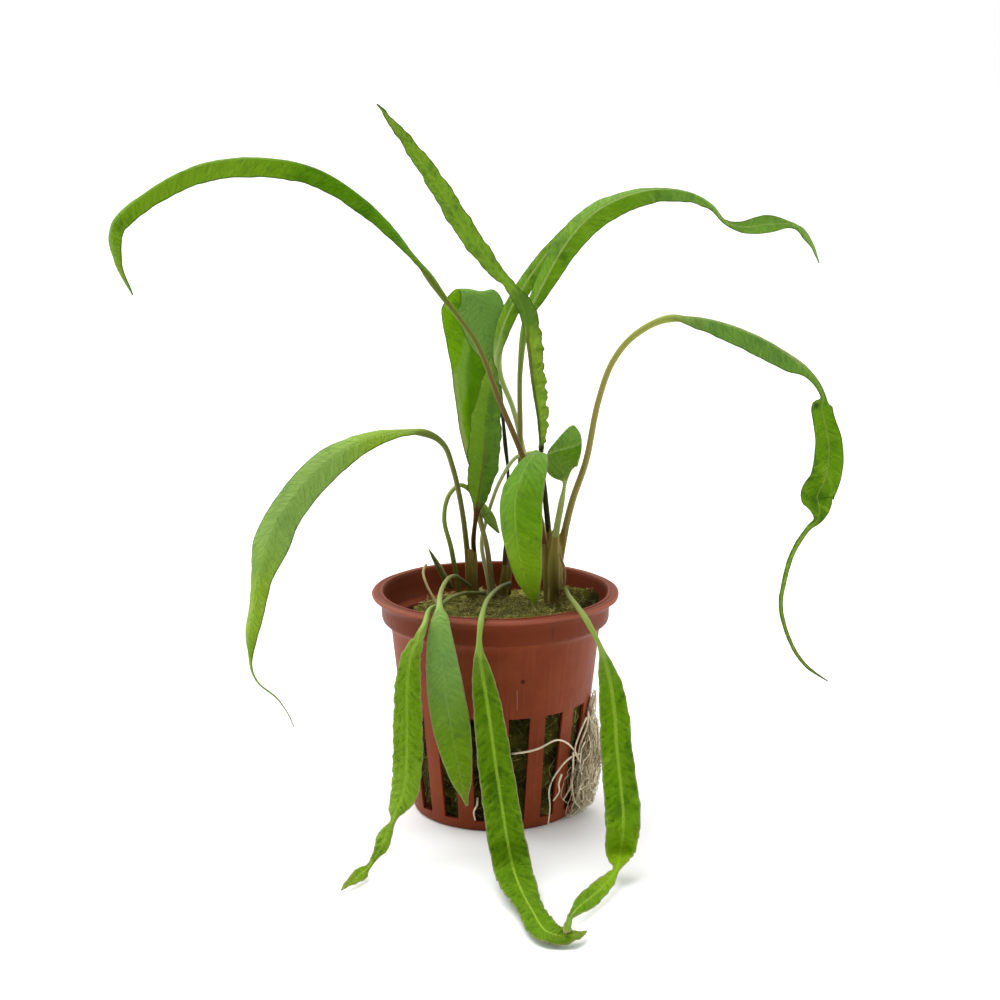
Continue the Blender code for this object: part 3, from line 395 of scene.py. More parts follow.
# What each leaf adds to its rows: greens, stalk colours, margin wave and its length, bulges between the
# veins, half width of the pale midrib, where the midrib runs across the blade, and dark spots.
LOOKS = {
    "leaf_upper_left": dict(
        greens=FRESH, stalk=BROWN_STALK, wave=0.12, step=9, puff=0.02, rib=0.2, rib_share=0.25, streaks=0.6,
        network=0.08, edge=DARK_EDGE, gloss=0.16,
        patches=((0.44, 0.66, 0, None, (0.07, 0.24, 0.0005), 0.6, 0.05),
                 (0.7, 0.9, 0, None, (0.3, 0.52, 0.03), 0.45, 0.05))),
    "leaf_left": dict(
        greens=LIGHT, stalk=OLIVE_STALK, wave=0.12, step=11, puff=0.02, rib=0.4, rib_share=0.4, network=0.04,
        edge=DARK_EDGE, patches=((0.46, 0.7, 0, None, (0.31, 0.52, 0.17), 0.55, 0.06),)),
    "leaf_back_folded": dict(
        greens=SUNLIT, stalk=SAND_STALK, wave=0.12, step=12, puff=0.02, rib=0.25, rib_share=0.3, network=0.12,
        streaks=0.3, gloss=0.15, flip=True, under=(0.85, (0.2, 0.4, 0.09)), edge=DARK_EDGE,
        # Painted light and shade: a pale stripe along one margin and a pale facet where the bent blade catches light,
        # and the other half painted darker for its shade.
        patches=((0.22, 0.6, 0.01, 1.5, (0.6, 0.66, 0.22), 0.9, 0.03),
                 (0.55, 0.68, 0.03, (0.1, 0.7), (0.42, 0.66, 0.14), 0.6, 0.01),
                 (0.3, 0.62, 0.03, (2.2, 0.6), (0.09, 0.27, 0.0015), 0.6, 0.02))),
    "leaf_tall": dict(
        greens=((0.13, 0.3, 0.001), (0.3, 0.56, 0.003), (0.58, 0.78, 0.05)), stalk=BLACK_STALK, slim=1,
        opens=(1.3, 2.1), wave=0.55, step=3.4, puff=0.4, crease_shade=0.9, rib=0.6,
        rib_color=(0.16, 0.07, 0.02), rib_share=0.95, rib_ends=(0.54, 0.48), edge=DARK_EDGE, blush=0, gloss=0.15,
        ruffles=((0.28, 1.4), (0.5, 1.1), (0.58, 0.3), (1, 0.15)),
        midrib=((0.28, 0.5), (0.33, 0.7), (0.49, 0.7), (0.57, 0)),
        patches=((0.51, 0.575, 0, None, (0.05, 0.17, 0.001), 0.75, 0.015),
                 (0.3, 0.5, 0, (-0.2, -0.6), (0.46, 0.62, 0.015), 0.45, 0.02),
                 (0.2, 0.41, 0, (-0.5, -0.25), (0.02, 0.01, 0.008), 0.95, 0.02))),
    "leaf_upper_right": dict(
        greens=FRESH, stalk=RUSTY_STALK, wave=0.14, step=9, puff=0.03, rib=0.42, rib_share=0.95,
        rib_color=(0.42, 0.6, 0.16), streaks=0.6, network=0.1, edge=DARK_EDGE,
        patches=((0.68, 1.1, 0, None, (0.2, 0.4, 0.08), 0.5, 0.05),)),
    "leaf_ruffled": dict(
        greens=FRESH, stalk=DARK_STALK, wave=0.75, step=3.6, puff=0.35, crease_shade=0.8, rib=0.32, rib_share=0.95,
        rib_color=(0.26, 0.1, 0.03), rib_ends=(0.76, 0.6), network=0.55, veins=0.13, edge=DARK_EDGE, blush=0,
        gloss=0.1, patches=((0.35, 0.97, 0, (0.1, 0.6), (0.36, 0.64, 0.006), 0.65, 0.04),
                            (0.35, 0.97, 0, (-0.1, -0.6), (0.05, 0.17, 0.0005), 0.5, 0.04))),
    "leaf_behind": dict(
        greens=FRESH, stalk=PALE_STALK, wave=0.12, step=6, puff=0.03, rib=0.4, rib_share=0.9,
        rib_color=(0.42, 0.58, 0.14), edge=DARK_EDGE),
    "leaf_right": dict(
        greens=FRESH, stalk=TAN_STALK, wave=0.12, step=8, puff=0.05, rib=0.26, rib_share=0.6, streaks=0.7,
        rib_color=(0.4, 0.44, 0.13), network=0.1, edge=DARK_EDGE, spots=((67.6, -14.3, 93.3, 0.7),),
        midrib=((0.3, -0.4), (0.55, -0.4), (0.62, 0)),
        patches=((0.28, 0.6, 0, None, (0.19, 0.38, 0.1), 0.55, 0.05),
                 (0.28, 0.58, 0, (-0.05, -0.35), (0.36, 0.38, 0.12), 0.7, 0.03))),
    "leaf_front_cupped": dict(
        slim=1, gloss=0.15, greens=BRIGHT, stalk=CROWN_STALK, wave=0.06, step=5, puff=0.02, rib=0.4, network=0.05, streaks=0.4,
        # Painted light and shade: the pale margin line is where the cup's rim catches light, the inside of the cup is
        # darkened, a thin pale band is the highlight on the fold above it, and the flap above is painted lighter as
        # lit.
        edge=(0.45, 0.6, 0.28), flip=True,
        patches=((0.6, 0.865, 0.018, None, (0.1, 0.29, 0.002), 0.8, 0.012),
                 (0.86, 0.872, 0.018, None, (0.42, 0.62, 0.2), 0.7, 0.006),
                 (0.88, 1.2, 0.018, None, (0.21, 0.44, 0.1), 0.55, 0.01))),
    "leaf_front_hanging": dict(
        greens=((0.09, 0.25, 0.001), (0.17, 0.4, 0.003), (0.33, 0.6, 0.05)), stalk=PALE_STALK, slim=0.62, wave=0.1, step=10, puff=0.06, rib=0.36, rib_share=0.8,
        rib_color=(0.38, 0.6, 0.12), network=0.1, streaks=0.5, midrib=((0, 0), (0.5, 0), (0.6, 0.05), (1, 0.1)),
        edge=PALE_EDGE, patches=((0.35, 0.7, 0, None, (0.14, 0.34, 0.03), 0.6, 0.1),
                                 (0.82, 0.99, 0, None, (0.38, 0.64, 0.02), 0.55, 0.06))),
    "leaf_rim_short": dict(
        greens=BRIGHT, stalk=HANGING_STALK, slim=0.75, wave=0.08, step=6, puff=0.06, rib=0.42, network=0.15,
        edge=PALE_EDGE, spots=((-11.6, -32.2, 28.5, 0.7), (-8.6, -31.2, 20.5, 0.5)),
        # Painted sheen: part of the blade is tinted a pale bluish green.
        patches=((0.2, 0.7, 0, None, (0.29, 0.54, 0.15), 0.7, 0.14),)),
    "leaf_trailing_left": dict(
        greens=BRIGHT, stalk=HANGING_STALK, slim=0.75, wave=0.3, step=3, puff=0.5, crease_shade=0.45, rib=0.5, rib_color=(0.42, 0.64, 0.06),
        veins=0.12, network=0.2, edge=PALE_EDGE, spots=((-15.4, -34.2, 31.5, 0.45),),
        patches=((0.42, 0.62, 0, None, (0.13, 0.33, 0.002), 0.35, 0.05),
                 (0.67, 0.84, 0, None, (0.34, 0.58, 0.05), 0.5, 0.05))),
    "leaf_trailing_middle": dict(
        greens=SHADED, gloss=0.15, stalk=HANGING_STALK, slim=0.72, wave=0.25, step=3.6, puff=0.42, crease_shade=0.4, rib=0.5, rib_color=(0.42, 0.64, 0.06),
        veins=0.1, network=0.15, edge=PALE_EDGE),
    "leaf_trailing_right": dict(
        greens=FRESH, stalk=HANGING_STALK, slim=0.72, wave=0.28, step=3.6, puff=0.42, crease_shade=0.4, rib=0.5, rib_color=(0.42, 0.64, 0.06),
        veins=0.1, network=0.18, edge=PALE_EDGE, gloss=0.12,
        patches=((0.64, 0.82, 0, None, (0.36, 0.6, 0.01), 0.6, 0.05),)),
    "leaf_looped": dict(greens=FRESH, stalk=GREEN_STALK, wave=0.1, step=4, puff=0.05, rib=0.3, edge=DARK_EDGE),
    "leaf_withered": dict(
        greens=BLACKENED, stalk=BLACKENED, wave=0.4, step=3.5, puff=0.15, rib=0.2, edge=(0.1, 0.11, 0.07), slim=1),
    "shoot_small": dict(
        greens=((0.16, 0.1, 0.03), (0.28, 0.21, 0.06), (0.4, 0.33, 0.11)), stalk=OLIVE_STALK, wave=0.1, step=3,
        puff=0.05, rib=0.2, edge=DARK_EDGE),
}

AROUND = 64
RING_SPACING = 0.45
BLADE_THICKNESS = 0.3


def select_none():
    bpy.ops.object.select_all(action="DESELECT")


def name_piece(obj, name):
    obj.name = name
    obj.data.name = name
    return obj


def dress(piece, material, node):
    """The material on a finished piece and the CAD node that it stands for."""
    piece.data.materials.clear()
    piece.data.materials.append(material)
    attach(piece, "root")
    if node:
        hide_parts(node)


# Material nodes

def new_finish(name):
    material = bpy.data.materials.new(name)
    material.use_nodes = True
    return material.node_tree, material.node_tree.nodes["Principled BSDF"], material


def put(tree, socket, value):
    if isinstance(value, bpy.types.NodeSocket):
        tree.links.new(value, socket)
    elif isinstance(value, tuple) and len(value) == 3 and socket.type == "RGBA":
        socket.default_value = (*value, 1)
    else:
        socket.default_value = value


def attribute(tree, name):
    node = tree.nodes.new("ShaderNodeAttribute")
    node.attribute_name = name
    return node.outputs["Fac"]


def calc(tree, operation, *values, clamp=False):
    node = tree.nodes.new("ShaderNodeMath")
    node.operation = operation
    node.use_clamp = clamp
    for socket, value in zip(node.inputs, values):
        put(tree, socket, value)
    return node.outputs[0]


def step_between(tree, value, low, high):
    """0 below low and 1 above high, smooth between them. High may be the lower of the two."""
    node = tree.nodes.new("ShaderNodeMapRange")
    node.interpolation_type = "SMOOTHSTEP"
    put(tree, node.inputs["Value"], value)
    flip = not isinstance(low, bpy.types.NodeSocket) and not isinstance(high, bpy.types.NodeSocket) and low > high
    put(tree, node.inputs["From Min"], high if flip else low)
    put(tree, node.inputs["From Max"], low if flip else high)
    node.inputs["To Min"].default_value = 1 if flip else 0
    node.inputs["To Max"].default_value = 0 if flip else 1
    return node.outputs[0]


def blend(tree, share, first, second, kind="MIX"):
    node = tree.nodes.new("ShaderNodeMix")
    node.data_type = "RGBA"
    node.blend_type = kind
    put(tree, node.inputs["Factor"], share)
    put(tree, node.inputs[6], first)
    put(tree, node.inputs[7], second)
    return node.outputs[2]


def mottle(tree, vector, scale, detail=3.0, rough=0.5, warp=0.0):
    node = tree.nodes.new("ShaderNodeTexNoise")
    put(tree, node.inputs["Vector"], vector)
    node.inputs["Scale"].default_value = scale
    node.inputs["Detail"].default_value = detail
    node.inputs["Roughness"].default_value = rough
    node.inputs["Distortion"].default_value = warp
    return node.outputs["Fac"]


def cells(tree, vector, scale, feature="DISTANCE_TO_EDGE"):
    node = tree.nodes.new("ShaderNodeTexVoronoi")
    node.feature = feature
    put(tree, node.inputs["Vector"], vector)
    node.inputs["Scale"].default_value = scale
    return node.outputs["Distance"]


def object_place(tree):
    return tree.nodes.new("ShaderNodeTexCoord").outputs["Object"]


def axes_of(tree, vector):
    node = tree.nodes.new("ShaderNodeSeparateXYZ")
    put(tree, node.inputs[0], vector)
    return node.outputs


def joined(tree, x, y, z=0.0):
    node = tree.nodes.new("ShaderNodeCombineXYZ")
    for socket, value in zip(node.inputs, (x, y, z)):
        put(tree, socket, value)
    return node.outputs[0]


def stretched(tree, vector, scale):
    node = tree.nodes.new("ShaderNodeMapping")
    put(tree, node.inputs["Vector"], vector)
    node.inputs["Scale"].default_value = scale
    return node.outputs[0]


def distance_to(tree, vector, point):
    node = tree.nodes.new("ShaderNodeVectorMath")
    node.operation = "DISTANCE"
    put(tree, node.inputs[0], vector)
    node.inputs[1].default_value = Vector(point) * MM
    return node.outputs["Value"]


def raise_by(tree, shader, height, depth, under=None):
    """A bump of this height, its full depth in metres, over the one under it."""
    node = tree.nodes.new("ShaderNodeBump")
    put(tree, node.inputs["Height"], height)
    node.inputs["Distance"].default_value = depth
    if under:
        tree.links.new(under, node.inputs["Normal"])
    tree.links.new(node.outputs[0], shader.inputs["Normal"])
    return node.outputs[0]


def leaf_finish(name, look):
    """Mottled green with slanting cross veins, a pale midrib, a thin margin line and a coloured stalk."""
    tree, shader, material = new_finish(name + "_finish")
    across, along = attribute(tree, "across"), attribute(tree, "along")
    margin, blade = attribute(tree, "margin"), attribute(tree, "blade")
    face, share = attribute(tree, "face"), attribute(tree, "share")
    place = object_place(tree)
    out = calc(tree, "ABSOLUTE", across)
    slant = calc(tree, "SUBTRACT", along, calc(tree, "MULTIPLY", out, 0.7))
    half = calc(tree, "MULTIPLY", calc(tree, "SIGN", across), 7.0)
    grid = joined(tree, calc(tree, "MULTIPLY", across, 0.5), slant, half)
    network = cells(tree, stretched(tree, grid, (0.8, 0.75, 1)), 1.0)
    vein = step_between(tree, network, look.get("veins", 0.07), 0.0)
    fine = step_between(tree, cells(tree, stretched(tree, grid, (3, 2.2, 1)), 1.0), 0.12, 0.0)
    fine_share = min(0.08, 0.4 * look.get("network", 0.22))
    patches = mottle(tree, stretched(tree, grid, (0.5, 0.55, 1)), 1.0, 4.0, 0.55, 0.6)
    clouds = mottle(tree, place, 160.0, 4.0, 0.55)
    dark, body, light = look["greens"]
    tone = step_between(tree, patches, 0.45, 0.8)
    color = blend(tree, step_between(tree, clouds, 0.3, 0.5), dark, body)
    # Painted shade: the creases between the bulges are darkened towards the dark green.
    crease = calc(tree, "MULTIPLY", attribute(tree, "crease"), look.get("crease_shade", 0.15))
    color = blend(tree, crease, color, tuple(0.45 * part for part in dark))
    color = blend(tree, calc(tree, "MULTIPLY", tone, look.get("streaks", 0.5)), color, light)
    color = blend(tree, calc(tree, "MULTIPLY", vein, look.get("network", 0.22)), color, light)
    color = blend(tree, calc(tree, "MULTIPLY", fine, fine_share), color, light)
    tips = step_between(tree, share, 0.9, 1.0)
    color = blend(tree, calc(tree, "MULTIPLY", tips, 0.5), color, (0.3, 0.36, 0.05))
    width = calc(tree, "MULTIPLY", calc(tree, "SUBTRACT", 1.35, share), look["rib"])
    rib = calc(tree, "SUBTRACT", 1.0, step_between(tree, out, calc(tree, "MULTIPLY", width, 0.55), width))
    rib = calc(tree, "MULTIPLY", rib, step_between(tree, share, *look.get("rib_ends", (1.0, 0.9))))
    rib_share = look.get("rib_share", 0.75)
    color = blend(tree, calc(tree, "MULTIPLY", rib, rib_share), color, look.get("rib_color", (0.33, 0.52, 0.07)))
    # Patches of other colour along the blade: on some leaves painted light and painted shade, on others the leaf's own
    # tone.
    for start, end, slope, side, tint, amount, soft in look.get("patches", ()):
        level = calc(tree, "ADD", share, calc(tree, "MULTIPLY", across, slope))
        level = calc(tree, "ADD", level, calc(tree, "MULTIPLY", calc(tree, "SUBTRACT", clouds, 0.5), 0.03))
        mask = calc(tree, "MULTIPLY", step_between(tree, level, start - soft, start + soft), amount)
        mask = calc(tree, "MULTIPLY", mask, step_between(tree, level, end + soft, end - soft))
        if isinstance(side, float):
            mask = calc(tree, "MULTIPLY", mask, step_between(tree, margin, side, 0.6 * side))
            mask = calc(tree, "MULTIPLY", mask, step_between(tree, across, -0.1, 0.1))
        elif side:
            mask = calc(tree, "MULTIPLY", mask, step_between(tree, across, *side))
        color = blend(tree, mask, color, tint)
    under_share, under_color = look.get("under", (0.4, (0.2, 0.36, 0.08)))
    under = step_between(tree, face, *((-0.3, 0.3) if look.get("flip") else (0.3, -0.3)))
    color = blend(tree, calc(tree, "MULTIPLY", under, under_share), color, under_color)
    line = calc(tree, "MULTIPLY", step_between(tree, margin, 0.32, 0.12), 0.8)
    color = blend(tree, line, color, look["edge"] if "edge" in look else PALE_EDGE)
    for x, y, z, radius in look.get("spots", ()):
        near = calc(tree, "ADD", distance_to(tree, place, (x, y, z)), calc(tree, "MULTIPLY", clouds, 0.0006))
        spot = step_between(tree, near, (radius + 0.5) * MM, (radius * 0.7 + 0.2) * MM)
        color = blend(tree, calc(tree, "MULTIPLY", spot, 0.8), color, (0.02, 0.035, 0.01))
    low, high, end = look["stalk"]
    length = look["stalk_length"]
    stalk = blend(tree, step_between(tree, along, 0.1 * length, 0.5 * length), low, high)
    stalk = blend(tree, step_between(tree, along, 0.55 * length, length), stalk, end)
    strands = mottle(tree, stretched(tree, joined(tree, across, along, half), (6, 0.25, 1)), 1.0, 3.0, 0.6)
    stalk = blend(tree, calc(tree, "MULTIPLY", step_between(tree, strands, 0.4, 0.7), 0.3), stalk, high)
    begun = step_between(tree, along, length + 0.5, length + 9)
    color = blend(tree, begun, blend(tree, look.get("blush", 0.4), color, end), color)
    color = blend(tree, blade, stalk, color)
    # Painted shade: one side of the stalk is darkened.
    stalk_shade_side = calc(tree, "MULTIPLY", calc(tree, "SUBTRACT", 1.0, blade), step_between(tree, across, -0.15, -0.75))
    color = blend(tree, calc(tree, "MULTIPLY", stalk_shade_side, 0.45), color, tuple(0.3 * part for part in low))
    put(tree, shader.inputs["Base Color"], color)
    gloss = calc(tree, "ADD", calc(tree, "MULTIPLY", clouds, 0.25), 0.3)
    put(tree, shader.inputs["Roughness"], gloss)
    shader.inputs["Specular IOR Level"].default_value = look.get("gloss", 0.25)
    shader.inputs["Specular Tint"].default_value = (0.75, 0.9, 0.3, 1)
    veins_up = calc(tree, "ADD", calc(tree, "MULTIPLY", vein, -0.6), calc(tree, "MULTIPLY", fine, -0.15))
    veins_up = calc(tree, "MULTIPLY", calc(tree, "ADD", veins_up, patches), blade)
    normal = raise_by(tree, shader, veins_up, 0.00022)
    raise_by(tree, shader, strands, 0.00008, normal)
    through = tree.nodes.new("ShaderNodeBsdfTranslucent")
    put(tree, through.inputs["Color"], blend(tree, 0.5, color, (0.3, 0.5, 0.004)))
    mixed = tree.nodes.new("ShaderNodeMixShader")
    put(tree, mixed.inputs[0], calc(tree, "MULTIPLY", blade, look.get("through", 0.3)))
    tree.links.new(shader.outputs[0], mixed.inputs[1])
    tree.links.new(through.outputs[0], mixed.inputs[2])
    tree.links.new(mixed.outputs[0], tree.nodes["Material Output"].inputs["Surface"])
    return material


def plastic_finish():
    """Terracotta-coloured moulded plastic: satin, faintly streaked, with a painted highlight along the rim, painted
    shade on the collar and on the inner wall, and a few marks.
    """
    tree, shader, material = new_finish("terracotta_plastic_finish")
    place = object_place(tree)
    x, y, z = axes_of(tree, place)
    clouds = mottle(tree, place, 90.0, 4.0, 0.6)
    turn = calc(tree, "ARCTAN2", y, x)
    streaks = mottle(tree, joined(tree, calc(tree, "MULTIPLY", turn, 30.0), calc(tree, "MULTIPLY", z, 60.0)), 1.0, 3.0)
    color = blend(tree, step_between(tree, clouds, 0.35, 0.65), (0.18, 0.034, 0.01), (0.225, 0.045, 0.014))
    color = blend(tree, calc(tree, "MULTIPLY", step_between(tree, streaks, 0.5, 0.75), 0.35), color, (0.3, 0.068, 0.026))
    radius = calc(tree, "SQRT", calc(tree, "ADD", calc(tree, "MULTIPLY", x, x), calc(tree, "MULTIPLY", y, y)))
    cone = calc(tree, "ADD", calc(tree, "MULTIPLY", z, 0.1167), 0.0178)
    # Painted highlight: a paler band along the top of the rim's outer lip.
    edge = calc(tree, "MULTIPLY", step_between(tree, z, 0.0486, 0.0492), step_between(tree, radius, 0.0268, 0.0273))
    # Painted shade: the collar below the rim is darkened.
    collar_shade = calc(tree, "MULTIPLY", step_between(tree, z, 0.0432, 0.0438), step_between(tree, radius, 0.024, 0.0246))
    color = blend(tree, calc(tree, "MULTIPLY", collar_shade, 0.75), color, (0.13, 0.022, 0.006))
    color = blend(tree, calc(tree, "MULTIPLY", edge, 0.45), color, (0.4, 0.13, 0.08))
    # Painted shade: the inner wall is darkened almost to black.
    inside = step_between(tree, calc(tree, "SUBTRACT", radius, cone), 0.0003, -0.0003)
    color = blend(tree, calc(tree, "MULTIPLY", inside, 0.9), color, (0.06, 0.009, 0.003))
    specks = mottle(tree, place, 900.0, 2.0, 0.5)
    color = blend(tree, calc(tree, "MULTIPLY", step_between(tree, specks, 0.72, 0.8), 0.5), color, (0.09, 0.03, 0.02))
    dot = step_between(tree, distance_to(tree, place, (5.9, -21.7, 35)), 0.00062, 0.0004)
    color = blend(tree, calc(tree, "MULTIPLY", dot, 0.9), color, (0.03, 0.006, 0.006))
    for kind, px, low, high, wide, tint in (
        ("scratch", 4.62, 28.2, 33.4, 0.07, (0.4, 0.19, 0.14)),
        ("seam", 12.2, 44.3, 47.4, 0.16, (0.07, 0.018, 0.012)),
        ("crease", 20.75, 28.3, 33.2, 0.14, (0.06, 0.012, 0.008)),
    ):
        wobble = calc(tree, "MULTIPLY", calc(tree, "SUBTRACT", clouds, 0.5), 0.0005)
        sideways = calc(tree, "ABSOLUTE", calc(tree, "ADD", calc(tree, "SUBTRACT", x, px * MM), wobble))
        mask = step_between(tree, sideways, wide * 1.3 * MM, wide * 0.6 * MM)
        mask = calc(tree, "MULTIPLY", mask, step_between(tree, z, low * MM, (low + 0.6) * MM))
        mask = calc(tree, "MULTIPLY", mask, step_between(tree, z, high * MM, (high - 0.6) * MM))
        mask = calc(tree, "MULTIPLY", mask, step_between(tree, y, 0.0, -0.002))
        color = blend(tree, calc(tree, "MULTIPLY", mask, 0.75), color, tint)
    put(tree, shader.inputs["Base Color"], color)
    put(tree, shader.inputs["Roughness"], calc(tree, "ADD", calc(tree, "MULTIPLY", clouds, 0.2), 0.45))
    shader.inputs["Specular IOR Level"].default_value = 0.18
    shader.inputs["Specular Tint"].default_value = (1, 0.6, 0.45, 1)
    under = raise_by(tree, shader, clouds, 0.0003)
    raise_by(tree, shader, mottle(tree, place, 2500.0, 2.0), 0.00001, under)
    return material


def wool_finish():
    tree, shader, material = new_finish("rock_wool_finish")
    place = object_place(tree)
    clouds = mottle(tree, place, 220.0, 5.0, 0.65)
    grain = mottle(tree, stretched(tree, place, (1, 1, 1.6)), 2600.0, 3.0, 0.7)
    color = blend(tree, step_between(tree, clouds, 0.35, 0.62), (0.05, 0.045, 0.006), (0.25, 0.225, 0.028))
    color = blend(tree, calc(tree, "MULTIPLY", step_between(tree, grain, 0.5, 0.72), 0.6), color, (0.4, 0.4, 0.15))
    # Painted shade: the wool is darkened below its top, inside the pot.
    depth = step_between(tree, axes_of(tree, place)[2], 0.04, 0.03)
    color = blend(tree, calc(tree, "MULTIPLY", depth, 0.45), color, (0.02, 0.016, 0.006))
    # Painted shadow: near-black in the gap between the raised wool and the wall at the right.
    gap_shadow = step_between(tree, distance_to(tree, place, (22, 0.5, 46.5)), 0.007, 0.003)
    color = blend(tree, calc(tree, "MULTIPLY", gap_shadow, 0.92), color, (0.012, 0.012, 0.003))
    put(tree, shader.inputs["Base Color"], color)
    shader.inputs["Roughness"].default_value = 0.95
    shader.inputs["Specular IOR Level"].default_value = 0.05
    raise_by(tree, shader, grain, 0.0006)
    return material


def fibre_finish(name, dark, light, shine=0.3):
    """Strands whose colour changes from one to the next, read from their own tint."""
    tree, shader, material = new_finish(name)
    tint = attribute(tree, "tint")
    place = object_place(tree)
    spread = mottle(tree, place, 700.0, 3.0, 0.6)
    color = blend(tree, tint, dark, light)
    color = blend(tree, calc(tree, "MULTIPLY", step_between(tree, spread, 0.45, 0.7), 0.4), color, dark)
    put(tree, shader.inputs["Base Color"], color)
    shader.inputs["Roughness"].default_value = 0.6
    shader.inputs["Specular IOR Level"].default_value = shine
    raise_by(tree, shader, spread, 0.00005)
    return material


def crown_finish():
    tree, shader, material = new_finish("crown_finish")
    place = object_place(tree)
    grain = mottle(tree, stretched(tree, place, (1, 1, 0.06)), 1800.0, 3.0, 0.6)
    clouds = mottle(tree, stretched(tree, place, (1, 1, 0.3)), 300.0, 3.0)
    z = axes_of(tree, place)[2]
    color = blend(tree, step_between(tree, grain, 0.3, 0.75), (0.17, 0.115, 0.022), (0.31, 0.24, 0.05))
    color = blend(tree, calc(tree, "MULTIPLY", step_between(tree, clouds, 0.4, 0.65), 0.6), color, (0.22, 0.2, 0.045))
    color = blend(tree, calc(tree, "MULTIPLY", step_between(tree, z, 0.056, 0.047), 0.75), color, (0.095, 0.075, 0.014))
    put(tree, shader.inputs["Base Color"], color)
    shader.inputs["Roughness"].default_value = 0.65
    shader.inputs["Specular IOR Level"].default_value = 0.12
    raise_by(tree, shader, grain, 0.0001)
    return material


# Leaves

def smooth_rows(rows, count):
    """Evenly spaced rows on a smooth curve through the given rows."""
    rows = np.array(rows, float)
    steps = np.linalg.norm(np.diff(rows[:, :3], axis=0), axis=1)
    lengths = np.concatenate([[0], np.cumsum(steps)])
    times = np.concatenate([[0], np.cumsum(np.sqrt(steps))])
    gaps = np.diff(times)[:, None]
    rates = np.diff(rows, axis=0) / gaps
    slopes = np.vstack([rates[:1], rates])
    slopes[1:-1] = (rates[:-1] * gaps[1:] + rates[1:] * gaps[:-1]) / (gaps[1:] + gaps[:-1])
    wanted = np.interp(np.linspace(0, lengths[-1], count), lengths, times)
    index = np.clip(np.searchsorted(times, wanted, side="right") - 1, 0, len(rows) - 2)
    gap = gaps[index]
    s = (wanted - times[index])[:, None] / gap
    start = (2 * s**3 - 3 * s**2 + 1) * rows[index] + (s**3 - 2 * s**2 + s) * gap * slopes[index]
    end = (3 * s**2 - 2 * s**3) * rows[index + 1] + (s**3 - s**2) * gap * slopes[index + 1]
    return start + end


def unit(vectors):
    return vectors / np.maximum(np.linalg.norm(vectors, axis=-1, keepdims=True), 1e-9)


def ease(values, low, high):
    s = np.clip((values - low) / (high - low), 0, 1)
    return s * s * (3 - 2 * s)


def wander(values, seed):
    """A smooth wandering line between about -1 and 1."""
    return (
        np.sin(values + seed * 1.7) + 0.6 * np.sin(values * 1.83 + seed * 3.1) + 0.4 * np.sin(values * 3.17 + seed)
    ) / 1.6


def leaf_frames(places, bearing):
    """Direction along the leaf, across it and out of its upper side, at each ring."""
    lean = np.array((math.sin(math.radians(bearing)), -math.cos(math.radians(bearing)), 0))
    tangents = unit(np.gradient(places, axis=0))
    sides = []
    for tangent in tangents:
        level = lean - lean.dot(tangent) * tangent
        trust = ease(np.linalg.norm(level), 0.15, 0.5)
        level = unit(level)
        if sides:
            carried = unit(sides[-1] - sides[-1].dot(tangent) * tangent)
            level = level if level.dot(carried) >= 0 else -level
            level = unit(level * trust + carried * (1 - trust))
        sides.append(level)
    sides = np.array(sides)
    return tangents, sides, np.cross(sides, tangents)


def grid_tube(name, around, rings):
    """A closed tube as tall as it has rings: a cylinder whose long edges are divided in two passes."""
    first = 10
    second = max(2, round(rings / first))
    select_none()
    bpy.ops.mesh.primitive_cylinder_add(vertices=around, radius=1, depth=2, end_fill_type="NGON")
    obj = name_piece(bpy.context.active_object, name)
    for cuts in (first - 1, second - 1):
        bpy.ops.object.mode_set(mode="OBJECT")
        mesh = obj.data
        ends = np.zeros(len(mesh.vertices) * 3)
        mesh.vertices.foreach_get("co", ends)
        ends = ends.reshape(-1, 3)
        pairs = np.zeros(len(mesh.edges) * 2, int)
        mesh.edges.foreach_get("vertices", pairs)
        pairs = pairs.reshape(-1, 2)
        upright = abs(ends[pairs[:, 0], 2] - ends[pairs[:, 1], 2]) > 1e-5
        mesh.polygons.foreach_set("select", np.zeros(len(mesh.polygons), bool))
        mesh.vertices.foreach_set("select", np.ones(len(mesh.vertices), bool))
        mesh.edges.foreach_set("select", upright)
        bpy.ops.object.mode_set(mode="EDIT")
        bpy.ops.mesh.select_mode(type="EDGE")
        bpy.ops.mesh.subdivide(number_cuts=cuts)
    bpy.ops.object.mode_set(mode="OBJECT")
    return obj, first * second


def tube_places(obj, around, rings):
    """Ring number and turn number of each point of a grid tube."""
    points = np.zeros(len(obj.data.vertices) * 3)
    obj.data.vertices.foreach_get("co", points)
    points = points.reshape(-1, 3)
    ring = np.rint((points[:, 2] + 1) / 2 * rings).astype(int)
    turn = np.rint(np.arctan2(points[:, 1], points[:, 0]) / math.tau * around).astype(int) % around
    return ring, turn


def set_shape(obj, points, **values):
    """Moves the points, given in millimetres, and stores the named numbers on them."""
    mesh = obj.data
    points[:, 2] = np.maximum(points[:, 2], 0.05)
    mesh.vertices.foreach_set("co", (points * MM).ravel())
    for name, numbers in values.items():
        layer = mesh.attributes.new(name, "FLOAT", "POINT")
        layer.data.foreach_set("value", np.asarray(numbers, np.float32))
    mesh.update()
    select_none()
    bpy.context.view_layer.objects.active = obj
    obj.select_set(True)
    bpy.ops.object.mode_set(mode="EDIT")
    bpy.ops.mesh.select_all(action="SELECT")
    bpy.ops.mesh.normals_make_consistent(inside=False)
    bpy.ops.object.mode_set(mode="OBJECT")
    bpy.ops.object.shade_smooth()


def rooted(rows, depth):
    """The rows with one more below the base, in the line of the stalk, this far down in the wool."""
    first, second = np.array(rows[0], float), np.array(rows[1], float)
    step = (first[:3] - second[:3]) / max(second[2] - first[2], 0.5)
    lower = first.copy()
    lower[:3] += step * (1, 1, 1) * (first[2] - depth)
    return (tuple(lower), *rows)


